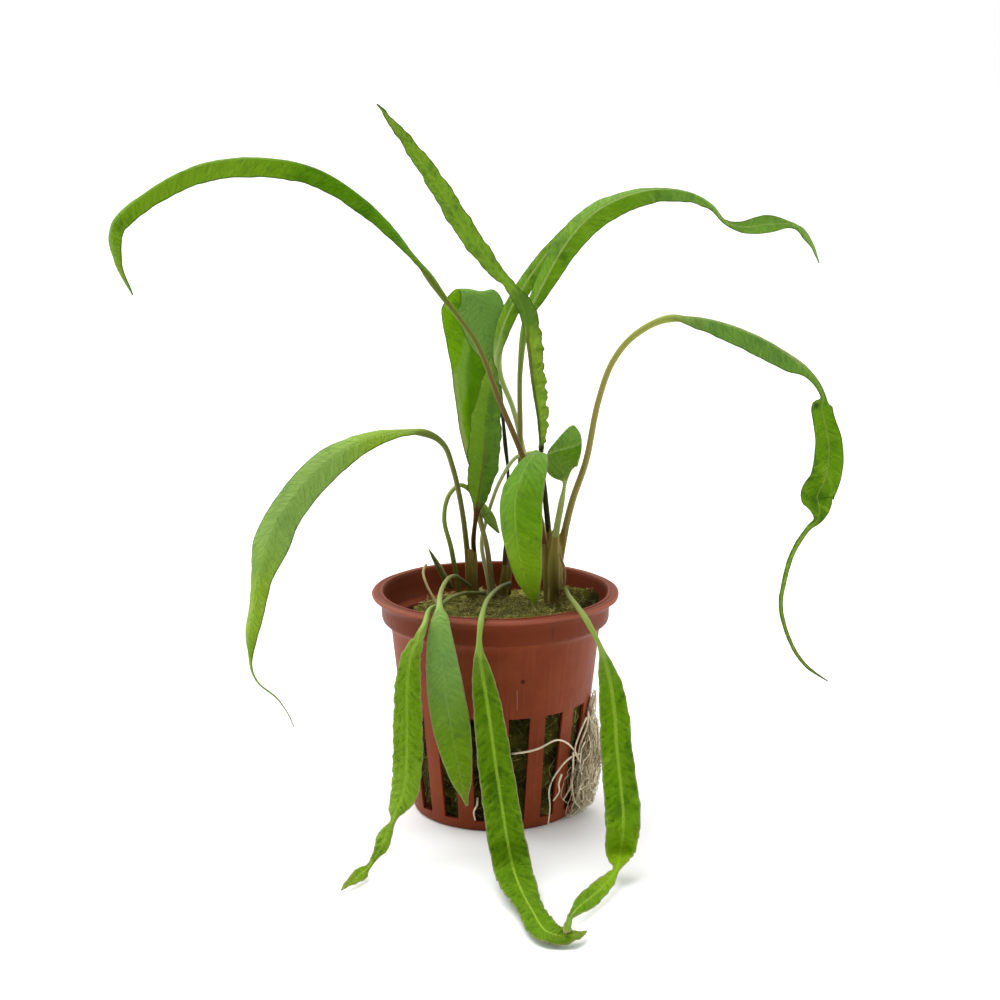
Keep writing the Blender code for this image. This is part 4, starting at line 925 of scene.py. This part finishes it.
def grow_leaf(node, bearing, rows, look, seed):
    length = np.linalg.norm(np.diff(np.array(rows)[:, :3], axis=0), axis=1).sum()
    obj, rings = grid_tube(node.replace("leaf_", "") + "_leaf", AROUND, length / RING_SPACING)
    ring, turn = tube_places(obj, AROUND, rings)
    table = smooth_rows(rows, rings + 1)
    places, widths = table[:, :3], np.maximum(table[:, 3], 0.25)
    travel = np.concatenate([[0], np.cumsum(np.linalg.norm(np.diff(places, axis=0), axis=1))])
    share = travel / travel[-1]
    tangents, sides, uppers = leaf_frames(places, bearing)
    roll, fold = np.radians(table[:, 4:5]), np.radians(table[:, 5])
    sides, uppers = sides * np.cos(roll) + uppers * np.sin(roll), uppers * np.cos(roll) - sides * np.sin(roll)
    low, high = look.get("opens", (1.9, 3.4))
    blade = np.maximum.accumulate(ease(widths, low, high))
    widths = widths * (1 - (1 - look.get("slim", 0.86)) * (1 - ease(widths, low, high + 0.6)))
    begin = travel[np.argmax(blade > 0.5)] if blade.max() > 0.5 else travel[-1]
    look["stalk_length"] = float(max(begin, 1))
    midrib = np.interp(share, *zip(*look.get("midrib", ((0, 0),))))

    # Across the ring: round on the stalk, evenly spaced over both faces of the blade
    angle = turn * math.tau / AROUND
    flat = blade[ring]
    half_turn = angle / math.pi
    spread = np.where(half_turn <= 1, 1 - 2 * half_turn, 2 * half_turn - 3)
    u = np.cos(angle) * (1 - flat) + spread * flat
    face = np.sign(np.round(np.sin(angle), 6))
    half = widths[ring] / 2
    rib_place = midrib[ring] * flat
    off = (u - rib_place) * half
    from_margin = (1 - abs(u)) * half
    rib_size = look["rib"] * (1.3 - share[ring])
    thick = BLADE_THICKNESS / 2 * np.sqrt(np.clip(1 - u**6, 0, 1)) * np.minimum(1, 0.45 + from_margin / 0.9)
    thick += np.where(face < 0, 0.5 * rib_size * np.exp(-((off / (0.9 * rib_size)) ** 2)), 0) * (widths[ring] > 1.5)
    rise = np.sin(angle) * np.minimum(half, 1.1) * (1 - flat) + face * thick * flat

    # Fold about the midrib, curl, margin wave and bulges between the cross veins
    bend = np.sqrt(off**2 + 0.12) - 0.346
    rise -= bend * np.sin(fold[ring]) * (0.25 + 0.75 * flat)
    out = rib_place * half + off * np.cos(fold[ring] * (0.25 + 0.75 * flat))
    reach = np.clip(abs(off) / np.maximum(half, 0.4), 0, 1)
    pace = travel[ring] * math.tau / look["step"]
    lean_side = np.where(off > 0, seed, seed + 5.3)
    strength = np.interp(share[ring], *zip(*look.get("ruffles", ((0, 1),))))
    wave = wander(pace, lean_side) * look["wave"] * strength * reach**2 * flat * np.minimum(1, half / 2)
    slant = travel[ring] - 0.7 * abs(off)
    pace = travel[ring]
    puffs = abs(np.sin(slant * math.pi / 1.7 + 1.1 * wander(pace * 0.7, lean_side) + 0.5 * wander(pace * 2.3, seed)))
    band = ease(abs(off), 0.25, 0.9) * ease(from_margin, 0.0, 0.6) * flat
    short = wander(abs(off) * 2.6 + wander(pace * 1.3, lean_side + 4) * 2, lean_side + pace * 0.35)
    gate = np.clip(0.35 + 0.9 * short, 0, 1)
    # Where the finish paints shade into the dips between the bulges
    crease = np.clip((1 - puffs**0.4) * 2.6 * gate, 0, 1) * band
    puffs = look["puff"] * (puffs**0.6 - 0.6) * band * (0.4 + 0.6 * gate)
    groove = -0.1 * np.exp(-((off / 0.35) ** 2)) * np.minimum(1, half / 2.5)
    rise += wave + (puffs + groove) * flat
    out += 0.35 * look["wave"] * wander(pace * 0.8, lean_side + 2) * np.sign(off) * reach**3 * flat
    points = places[ring] + sides[ring] * out[:, None] + uppers[ring] * rise[:, None]
    set_shape(
        obj, points, across=off, along=travel[ring], margin=from_margin, blade=flat,
        face=np.where(abs(u) > 0.999, 0, face), share=share[ring], crease=crease,
    )
    dress(obj, leaf_finish(obj.name, look), node)
    return obj


# Net pot

POT_STEPS = 192
POT_PROFILE = (
    (2, 1.2), (9, 1.2), (15, 1.2), (17.3, 1.2), (17.62, 1.5), (18.1, 5), (18.68, 10), (19.27, 15), (19.85, 20),
    (20.43, 25), (21.02, 30), (21.6, 35), (22.18, 40), (22.42, 42.5), (22.7, 42.95), (24.3, 43.5), (24.55, 43.9),
    (24.75, 46.5), (24.85, 48.9), (24.95, 49.6), (25.15, 49.92), (25.45, 50), (25.7, 49.94), (25.84, 49.76),
    (26, 49.72), (26.2, 49.84), (26.6, 49.86), (27, 49.74), (27.35, 49.5), (27.5, 49.25), (27.42, 49), (27.1, 48.75),
    (26.5, 48.3), (25.95, 47.85), (25.62, 47.5), (25.5, 47.2), (25.43, 46.2), (25.35, 44.2), (25.2, 43.75), (24.9, 43.45),
    (23.6, 42.35), (23.36, 42), (23.18, 41), (22.6, 36), (22.02, 31), (21.43, 26), (20.85, 21), (20.27, 16),
    (19.68, 11), (19.1, 6), (18.58, 1.6), (18.46, 0.75), (18.3, 0.35), (17.95, 0.06), (17.6, 0), (12, 0), (2, 0),
)
SLOT_COUNT = 16
FIRST_SLOT = 14.2


def slot_block(turn, near, far, bottom, top, bottom_width, top_width):
    """A cutter for one slot: a cube at the slot's place, its top and bottom faces sized to the slot's widths."""
    select_none()
    middle = Vector((0, -(near + far) / 2, (bottom + top) / 2)) * MM
    size = Vector((1, far - near, top - bottom)) * MM
    bpy.ops.mesh.primitive_cube_add(size=1, location=middle, scale=size)
    block = bpy.context.active_object
    bpy.ops.object.transform_apply(location=True, scale=True)
    for height, width in ((bottom, bottom_width), (top, top_width)):
        for vert in block.data.vertices:
            vert.select = abs(vert.co.z - height * MM) < 0.00001
        for edge in block.data.edges:
            edge.select = all(block.data.vertices[i].select for i in edge.vertices)
        for face in block.data.polygons:
            face.select = all(block.data.vertices[i].select for i in face.vertices)
        bpy.ops.object.mode_set(mode="EDIT")
        bpy.ops.transform.resize(value=(width, 1, 1), center_override=(0, middle.y, height * MM))
        bpy.ops.object.mode_set(mode="OBJECT")
    bpy.ops.transform.rotate(value=-turn, orient_axis="Z", center_override=(0, 0, 0))
    bpy.ops.object.transform_apply(location=True, rotation=True)
    return block


def build_pot():
    select_none()
    radius, height = POT_PROFILE[0]
    bpy.ops.mesh.primitive_circle_add(vertices=POT_STEPS, radius=radius * MM, location=(0, 0, height * MM))
    pot = name_piece(bpy.context.active_object, "slotted_net_pot")
    bpy.ops.object.transform_apply(location=True)
    bpy.ops.object.mode_set(mode="EDIT")
    bpy.ops.mesh.select_all(action="SELECT")
    for (before, low), (after, high) in zip(POT_PROFILE, POT_PROFILE[1:]):
        bpy.ops.mesh.extrude_edges_move(TRANSFORM_OT_translate={"value": (0, 0, (high - low) * MM)})
        bpy.ops.transform.resize(value=(after / before, after / before, 1), center_override=(0, 0, high * MM))
    bpy.ops.mesh.select_all(action="DESELECT")
    bpy.ops.mesh.select_non_manifold()
    bpy.ops.mesh.edge_face_add()
    bpy.ops.mesh.select_all(action="SELECT")
    bpy.ops.mesh.normals_make_consistent(inside=False)
    bpy.ops.object.mode_set(mode="OBJECT")
    for vert in pot.data.vertices:
        lift = ease(vert.co.z, 0.03, 0.05)
        push = noise.noise(Vector((vert.co.x, vert.co.y, vert.co.z * 0.4)) * 90) * 0.00035 * (0.3 + 0.7 * lift)
        vert.co += Vector((vert.co.x, vert.co.y, 0)).normalized() * push
    blocks = []
    for index in range(SLOT_COUNT):
        turn = math.radians(FIRST_SLOT) + index * math.tau / SLOT_COUNT
        blocks.append(slot_block(turn, 15.9, 24.3, 2.3, 26.4, 3.5, 4.8))
    for index in range(8):
        blocks.append(slot_block(index * math.tau / 8, 7, 14.5, -1, 2.2, 2.4, 2.4))
    for block in blocks:
        block.select_set(True)
    bpy.context.view_layer.objects.active = blocks[0]
    bpy.ops.object.join()
    cutter = bpy.context.active_object
    select_none()
    bpy.context.view_layer.objects.active = pot
    pot.select_set(True)
    slots = pot.modifiers.new("slots", "BOOLEAN")
    slots.operation = "DIFFERENCE"
    slots.object = cutter
    bpy.ops.object.modifier_apply(modifier="slots")
    bpy.data.objects.remove(cutter)
    edge = pot.modifiers.new("worn edges", "BEVEL")
    edge.width = 0.12 * MM
    edge.segments = 2
    edge.limit_method = "ANGLE"
    edge.angle_limit = math.radians(50)
    bpy.ops.object.modifier_apply(modifier="worn edges")
    bpy.ops.object.shade_smooth_by_angle(angle=math.radians(30))
    dress(pot, plastic_finish(), "net_pot")


# Strands: fibres, roots and thin stems, joined into one mesh

def strand_bundle(name, paths, radii, sides, tints):
    """One mesh of closed tubes along the paths, in millimetres, each strand with its own tint."""
    paths = np.asarray(paths, float)
    count, rings = paths.shape[:2]
    tangents = unit(np.gradient(paths, axis=1))
    helper = np.where(abs(tangents[..., 2:3]) > 0.9, (1.0, 0, 0), (0, 0, 1.0))
    side = unit(np.cross(tangents, helper))
    upper = np.cross(side, tangents)
    angle = np.arange(sides) * math.tau / sides
    circle = side[:, :, None] * np.cos(angle)[:, None] + upper[:, :, None] * np.sin(angle)[:, None]
    points = (paths[:, :, None] + circle * np.asarray(radii)[:, :, None, None]).reshape(-1, 3)
    points[:, 2] = np.maximum(points[:, 2], 0.05)
    ring = np.arange(sides)
    after = (ring + 1) % sides
    base = (np.arange(count)[:, None] * rings + np.arange(rings - 1)).reshape(-1, 1) * sides
    walls = np.stack([base + ring, base + after, base + sides + after, base + sides + ring], axis=-1).reshape(-1, 4)
    starts = np.arange(count)[:, None] * rings * sides
    caps = [tuple(row[::-1]) for row in starts + ring] + [tuple(row) for row in starts + (rings - 1) * sides + ring]
    mesh = bpy.data.meshes.new(name)
    mesh.from_pydata((points * MM).tolist(), [], [tuple(row) for row in walls.tolist()] + caps)
    layer = mesh.attributes.new("tint", "FLOAT", "POINT")
    layer.data.foreach_set("value", np.repeat(np.asarray(tints, np.float32), rings * sides))
    obj = bpy.data.objects.new(name, mesh)
    bpy.context.scene.collection.objects.link(obj)
    select_none()
    bpy.context.view_layer.objects.active = obj
    obj.select_set(True)
    bpy.ops.object.mode_set(mode="EDIT")
    bpy.ops.mesh.select_all(action="SELECT")
    bpy.ops.mesh.normals_make_consistent(inside=False)
    bpy.ops.object.mode_set(mode="OBJECT")
    bpy.ops.object.shade_smooth()
    return obj


# Rock wool

FLAP_LEFT = np.array((13, 12, 48.0))
FLAP_RIGHT = np.array((23.4, 3, 50.8))
WOOL_TOP = 45.3


def wool_rise(x, y):
    """How far the wool's top stands over its level, in millimetres."""
    line = (FLAP_RIGHT - FLAP_LEFT)[:2]
    length = np.linalg.norm(line)
    line = line / length
    place = np.clip(((x - FLAP_LEFT[0]) * line[0] + (y - FLAP_LEFT[1]) * line[1]) / length, -1, 1)
    distance = (y - FLAP_LEFT[1]) * line[0] - (x - FLAP_LEFT[0]) * line[1]
    inner = np.clip(place, 0, 1)
    edge = FLAP_LEFT[2] + (FLAP_RIGHT[2] - FLAP_LEFT[2]) * inner - WOOL_TOP
    slope = np.where(distance < 0, 2.4 + 2 * inner, 1.6)
    fade = np.clip(1 + 3 * np.minimum(place, 0), 0, 1)
    mound = 0.9 * np.exp(-(((y + 16) / 6) ** 2))
    return edge * fade * np.maximum(0, 1 - abs(distance) / slope) ** 1.3 + mound


def wool_radius(z):
    return np.where(z > 42.4, 20.8, 16.9 + 4.4 * (z - 1.5) / 40.9)


def noise_at(points, scale, seed):
    shift = Vector((seed * 3.7, seed * 1.3, seed * 2.1))
    return np.array([noise.noise(Vector(p) * scale + shift) for p in points])


def build_wool():
    """A lumpy plug: a cylinder with rings up its side and over its top, roughened, then covered in fibres."""
    around, rings = 150, 140
    plug, rings = grid_tube("rock_wool_plug", around, rings)
    ring, turn = tube_places(plug, around, rings)
    angle = turn * math.tau / around
    share = ring / rings
    on_top = ease(share, 0.6, 0.6001) > 0.5
    z = np.where(on_top, WOOL_TOP, 1.5 + (WOOL_TOP - 1.5) * share / 0.6)
    radius = np.where(on_top, 20.4 * (1 - share) / 0.4, wool_radius(z))
    points = np.stack([np.cos(angle) * radius, np.sin(angle) * radius, z], axis=1)
    facing = np.arctan2(points[:, 1], points[:, 0])
    near_top = points[:, 2] > 44
    swell = (radius / 20.6) ** 4 * 1.2 * np.exp(-(((facing - 0.15) / 0.4) ** 2)) * near_top
    points[:, 0] += swell * np.cos(facing) + 1.2
    points[:, 1] += swell * np.sin(facing)
    points[:, 2] += wool_rise(points[:, 0], points[:, 1]) * near_top
    points[:, 2] -= 1.5 * ease(np.hypot(points[:, 0] - 1.2, points[:, 1]), 17.5, 20.5) * near_top
    lumps = noise_at(points, 0.35, 1) * 0.9 + noise_at(points, 1.1, 2) * 0.45 + noise_at(points, 3, 3) * 0.2
    normal = np.stack([np.cos(angle), np.sin(angle), np.zeros(len(angle))], axis=1)
    normal[on_top] = (0, 0, 1)
    points += normal * (lumps - 0.3)[:, None]
    points[:, 2] = np.maximum(points[:, 2], 1.4)
    set_shape(plug, points)
    dress(plug, wool_finish(), "rock_wool")
    rng = np.random.default_rng(7)
    heads, leans = [], []
    flat_points = points[on_top & (radius > 2)]
    side_points = points[~on_top & (points[:, 2] < 30)]
    for source, count, up in ((flat_points, 4200, 0.35), (side_points, 2600, 0.1)):
        chosen = source[rng.integers(0, len(source), count)] + rng.normal(0, 0.25, (count, 3))
        heads.append(chosen)
        away = unit(np.stack([chosen[:, 0], chosen[:, 1], np.zeros(count)], axis=1))
        lean = rng.normal(0, 1, (count, 3))
        if up > 0.2:
            lean[:, 2] = abs(lean[:, 2]) * up
        else:
            lean -= away * (lean * away).sum(axis=1)[:, None] * 0.8
        leans.append(unit(lean))
    heads, leans = np.concatenate(heads), np.concatenate(leans)
    steps = np.linspace(-0.5, 0.5, 6)[None, :, None]
    size = rng.uniform(1.2, 4.2, (len(heads), 1, 1))
    curl = unit(rng.normal(0, 1, (len(heads), 3)))[:, None] * (steps**2 - 0.08) * size * 0.9
    curl[..., 2] = abs(curl[..., 2]) * 0.3
    paths = heads[:, None] + leans[:, None] * steps * size + curl
    limit = 21.9 + 2.5 * (paths[..., 2] > 44)
    reach = np.linalg.norm(paths[..., :2] - (1.2, 0), axis=-1)
    paths[..., :2] *= np.minimum(1, limit / np.maximum(reach, 1))[..., None]
    radii = rng.uniform(0.035, 0.075, (len(heads), 1)) * np.array([0.4, 1, 1, 1, 1, 0.4])
    fuzz = strand_bundle("rock_wool_fibres", paths, radii, 3, rng.uniform(0, 1, len(heads)) ** 1.6)
    dress(fuzz, fibre_finish("wool_fibre_finish", (0.07, 0.066, 0.008), (0.52, 0.5, 0.17), 0.05), None)


# Crowns: sheaths of the leaf bases, grown together

CROWNS = {
    "crown_left": (
        ((-5, 10, 43.5, 1.8), (-5.1, 10, 48, 1.25), (-5.4, 9.9, 53, 0.8), (-5.7, 9.7, 57, 0.1)),
        ("leaf_left", 5, 0.2), ("leaf_ruffled", 4, 0.15),
    ),
    "crown_middle": (
        ((0.6, 11, 43.5, 2.4), (0.6, 11, 45.6, 1.8), (0.5, 11, 47, 0.3)),
        ("leaf_upper_right", 4, 0.35), ("leaf_withered", 3, 0.4),
    ),
    "crown_right": (
        ((13, 5.3, 43.5, 2), (13, 5.3, 48, 1.8), (13, 5.2, 54, 1.9), (13.2, 5.1, 59, 1.5), (13.2, 5.1, 61.5, 0.8),
         (13.2, 5.1, 63, 0.1)),
        ("leaf_upper_left", 6, 0.35), ("leaf_right", 10, 0.45), ("leaf_front_cupped", 7, 0.35),
        ("leaf_tall", 8, 0.35), ("leaf_behind", 3, 0.2),
    ),
}


def round_tube(name, rows, around=20, spacing=0.6):
    """A closed round tube along rows of x, y, z and radius."""
    rows = np.array(rows, float)
    length = np.linalg.norm(np.diff(rows[:, :3], axis=0), axis=1).sum()
    obj, rings = grid_tube(name, around, max(20, length / spacing))
    ring, turn = tube_places(obj, around, rings)
    table = smooth_rows(rows, rings + 1)
    sides_and_uppers = leaf_frames(table[:, :3], 100)[1:]
    angle = turn * math.tau / around
    across = sides_and_uppers[0][ring] * np.cos(angle)[:, None] + sides_and_uppers[1][ring] * np.sin(angle)[:, None]
    points = table[ring, :3] + across * np.maximum(table[ring, 3:4], 0.02)
    set_shape(obj, points, along=ring / rings)
    return obj


def build_crown(name, core, *sheaths):
    tubes = [round_tube(name + "_core", core)]
    for node, length, extra in sheaths:
        table = smooth_rows(LEAVES[node][1], 60)
        travel = np.concatenate([[0], np.cumsum(np.linalg.norm(np.diff(table[:, :3], axis=0), axis=1))])
        rows = []
        for place in np.linspace(0, length, 6):
            row = [np.interp(place, travel, table[:, axis]) for axis in range(4)]
            slim = LOOKS[node].get("slim", 0.86)
            rows.append((*row[:3], slim * row[3] / 2 + extra * (1 - place / length) ** 1.2 - 0.05))
        base = np.array(core[0][:3]) * 0.6 + np.array((rows[0][0], rows[0][1], 43.8)) * 0.4
        rows.insert(0, (*base, rows[0][3] + 0.3))
        tubes.append(round_tube(node + "_sheath", rows))
    select_none()
    for tube in tubes:
        tube.select_set(True)
    bpy.context.view_layer.objects.active = tubes[0]
    bpy.ops.object.join()
    crown = name_piece(bpy.context.active_object, name + "_sheaths")
    remesh = crown.modifiers.new("grown together", "REMESH")
    remesh.mode = "VOXEL"
    remesh.voxel_size = 0.17 * MM
    bpy.ops.object.modifier_apply(modifier="grown together")
    soft = crown.modifiers.new("soft joins", "SMOOTH")
    soft.iterations = 14
    bpy.ops.object.modifier_apply(modifier="soft joins")
    bpy.ops.object.shade_smooth()
    dress(crown, crown_finish(), name)


# Roots outside the lower right wall

ROOT_STRANDS = (
    ((3.6, -18.9, 18), (5.3, -20.9, 18.9), (7.45, -20.4, 19.1), (9.6, -19.5, 19.5), (13.1, -17.5, 20.6),
     (15.6, -15, 19.1), (18.2, -10.7, 14.5), (20.1, -5, 8)),
    ((21.5, -5, 14.2), (19.8, -7.6, 14.1), (17.4, -12.4, 15.5), (15.4, -14.8, 14.9), (14.1, -15.9, 13.7),
     (12.5, -16.8, 11.5), (11.7, -17.1, 9.1), (11.9, -16.3, 4.7), (11.5, -16, 0.4)),
    ((17, -13.3, 16.5), (17, -13.4, 13), (16.8, -12.8, 9), (17.6, -11, 4.2), (19.6, -8, 0.9)),
    ((20.4, -8.2, 24), (20.2, -8.6, 21), (18.6, -10.7, 17.2), (18, -11.2, 13.8)),
    ((16.7, -11, 9.8), (16.6, -11.3, 8), (14.9, -12.9, 5.2)),
    ((20, -9, 23), (18.4, -11.5, 20), (17.4, -13, 16.8), (18.6, -11.6, 13.4)),
    ((-3.9, -17.6, 7.5), (-4, -19.1, 6.4), (-4.7, -18.9, 4.7), (-4.4, -18.7, 2.8)),
    ((14.4, -16.2, 12.4), (13.8, -16.2, 10.2), (13.9, -15.7, 8.2), (12.6, -16.6, 6.4)),
)


def build_roots():
    """A matted tuft of fine roots against the wall, and the thicker strands that loop out of it."""
    rng = np.random.default_rng(11)
    count, rings = 440, 34
    share = np.linspace(0, 1, rings)[None, :]
    top = rng.uniform(9, 27.5, (count, 1))
    bottom = np.maximum(0.4, top - rng.uniform(5, 20, (count, 1)))
    z = top + (bottom - top) * share
    for waves, size in ((9, 1.1), (21, 0.45)):
        z += size * np.sin(share * rng.uniform(0.4 * waves, waves, (count, 1)) + rng.uniform(0, 6, (count, 1)))
    z = np.clip(z, 0.2, 28)
    width = 0.32 + 0.68 * ease(z, 24, 11)
    turn = rng.normal(0, 6.5, (count, 1)) * width
    for waves, size in ((8, 4.5), (17, 1.8), (34, 0.8)):
        turn += size * width * np.sin(
            share * rng.uniform(0.4 * waves, waves, (count, 1)) + rng.uniform(0, 6, (count, 1)))
    turn = np.radians(72 + turn + 4 * ease(z, 10, 24))
    bulk = 0.7 + 3.1 * ease(z, 25, 12) * ease(z, 0, 3)
    depth = rng.uniform(0.05, 1, (count, 1)) * bulk
    depth += 0.5 * np.sin(share * rng.uniform(4, 18, (count, 1)) + rng.uniform(0, 6, (count, 1)))
    radius = 18.7 + 4.9 * z / 42 + np.maximum(depth, 0.15)
    paths = np.stack([np.sin(turn) * radius, -np.cos(turn) * radius, z], axis=-1)
    radii = rng.uniform(0.05, 0.12, (count, 1)) * (1.05 - 0.6 * share)
    radii[:40] *= 1.5
    tints = rng.uniform(0, 1, count) ** 0.7
    tints[:40] = 1
    tuft = strand_bundle("root_tuft_fine_roots", paths, radii, 4, tints)
    dress(tuft, fibre_finish("root_finish", (0.2, 0.12, 0.045), (0.92, 0.84, 0.6), 0.2), "root_tuft")
    paths, radii = [], []
    for points in ROOT_STRANDS:
        paths.append(smooth_rows(points, 60))
        radii.append(np.linspace(0.24, 0.15, 60))
    loops = strand_bundle("root_loops", paths, radii, 10, rng.uniform(0.7, 1, len(paths)))
    dress(loops, fibre_finish("root_loop_finish", (0.5, 0.38, 0.22), (0.82, 0.72, 0.52), 0.4), None)


# Thin withered stems around the crowns

STRAY_STEMS = {
    "loop_stem_left": (((-15.6, 7.5, 53.6, 0.32), (-16.2, 6, 52.3, 0.3), (-15.4, 3.5, 50, 0.28), (-13, 0.5, 46.2, 0.26)), 0.7),
    "curled_tendril": (((14, 3.4, 46.5, 0.3), (15.2, 2.6, 50, 0.35), (15.3, 2.2, 54, 0.3), (14.3, 2.3, 57.2, 0.15)), 0.25),
}


def build_stray_stems():
    finish = fibre_finish("stray_stem_finish", (0.24, 0.09, 0.03), (0.5, 0.42, 0.2), 0.3)
    for name, (rows, tint) in STRAY_STEMS.items():
        table = smooth_rows(rows, 40)
        obj = strand_bundle(name, [table[:, :3]], [table[:, 3]], 12, [tint])
        dress(obj, finish, None)


# Floor, lights and camera

def build_stage():
    select_none()
    bpy.ops.mesh.primitive_plane_add(size=30)
    floor = name_piece(bpy.context.active_object, "floor")
    tree, shader, material = new_finish("floor_paint")
    clouds = mottle(tree, object_place(tree), 3.0)
    put(tree, shader.inputs["Base Color"], blend(tree, clouds, (0.86, 0.86, 0.86), (0.88, 0.88, 0.88)))
    shader.inputs["Roughness"].default_value = 0.9
    shader.inputs["Specular IOR Level"].default_value = 0.1
    floor.data.materials.append(material)
    world = bpy.context.scene.world or bpy.data.worlds.new("studio")
    bpy.context.scene.world = world
    world.use_nodes = True
    tree = world.node_tree
    x, y, z = axes_of(tree, tree.nodes.new("ShaderNodeTexCoord").outputs["Generated"])
    from_back = step_between(tree, calc(tree, "ADD", y, calc(tree, "MULTIPLY", z, 0.7)), -0.7, 0.45)
    level = blend(tree, from_back, (0.12, 0.12, 0.12), (1, 1, 1))
    seen = tree.nodes.new("ShaderNodeLightPath").outputs["Is Camera Ray"]
    level = blend(tree, seen, level, (1, 1, 1))
    put(tree, tree.nodes["Background"].inputs["Color"], level)
    tree.nodes["Background"].inputs["Strength"].default_value = 1.0
    for name, place, size, power in (
        ("left_softbox", (-0.7, 0.05, 0.35), 0.4, 1.2),
        ("right_softbox", (0.7, 0.0, 0.35), 0.4, 1.2),
    ):
        light = bpy.data.lights.new(name, "AREA")
        light.energy = power
        light.size = size
        lamp = bpy.data.objects.new(name, light)
        lamp.location = place
        lamp.rotation_euler = (Vector((0, 0, 0.06)) - Vector(place)).to_track_quat("-Z", "Y").to_euler()
        bpy.context.scene.collection.objects.link(lamp)
    light = bpy.data.lights.new("overhead_light", "SUN")
    light.energy = 2.9
    light.angle = math.radians(55)
    lamp = bpy.data.objects.new("overhead_light", light)
    lamp.rotation_euler = (math.radians(-20), math.radians(-16), 0)
    bpy.context.scene.collection.objects.link(lamp)


def build_camera():
    data = bpy.data.cameras.new("camera")
    data.lens = CAMERA_LENS
    data.sensor_width = 36
    camera = bpy.data.objects.new("camera", data)
    camera.location = CAMERA_PLACE
    camera.rotation_euler = (math.radians(CAMERA_TILT), 0, 0)
    bpy.context.scene.collection.objects.link(camera)
    bpy.context.scene.camera = camera
    bpy.context.scene.view_settings.view_transform = "Standard"


build_camera()
build_stage()
build_pot()
build_wool()
for crown, table in CROWNS.items():
    build_crown(crown, *table)
for seed, (leaf, (bearing, rows)) in enumerate(LEAVES.items()):
    if rows[0][2] > 50:
        rows = rooted(rows, 45.5)
    grow_leaf(leaf, bearing, rows, LOOKS[leaf], seed)
build_roots()
build_stray_stems()
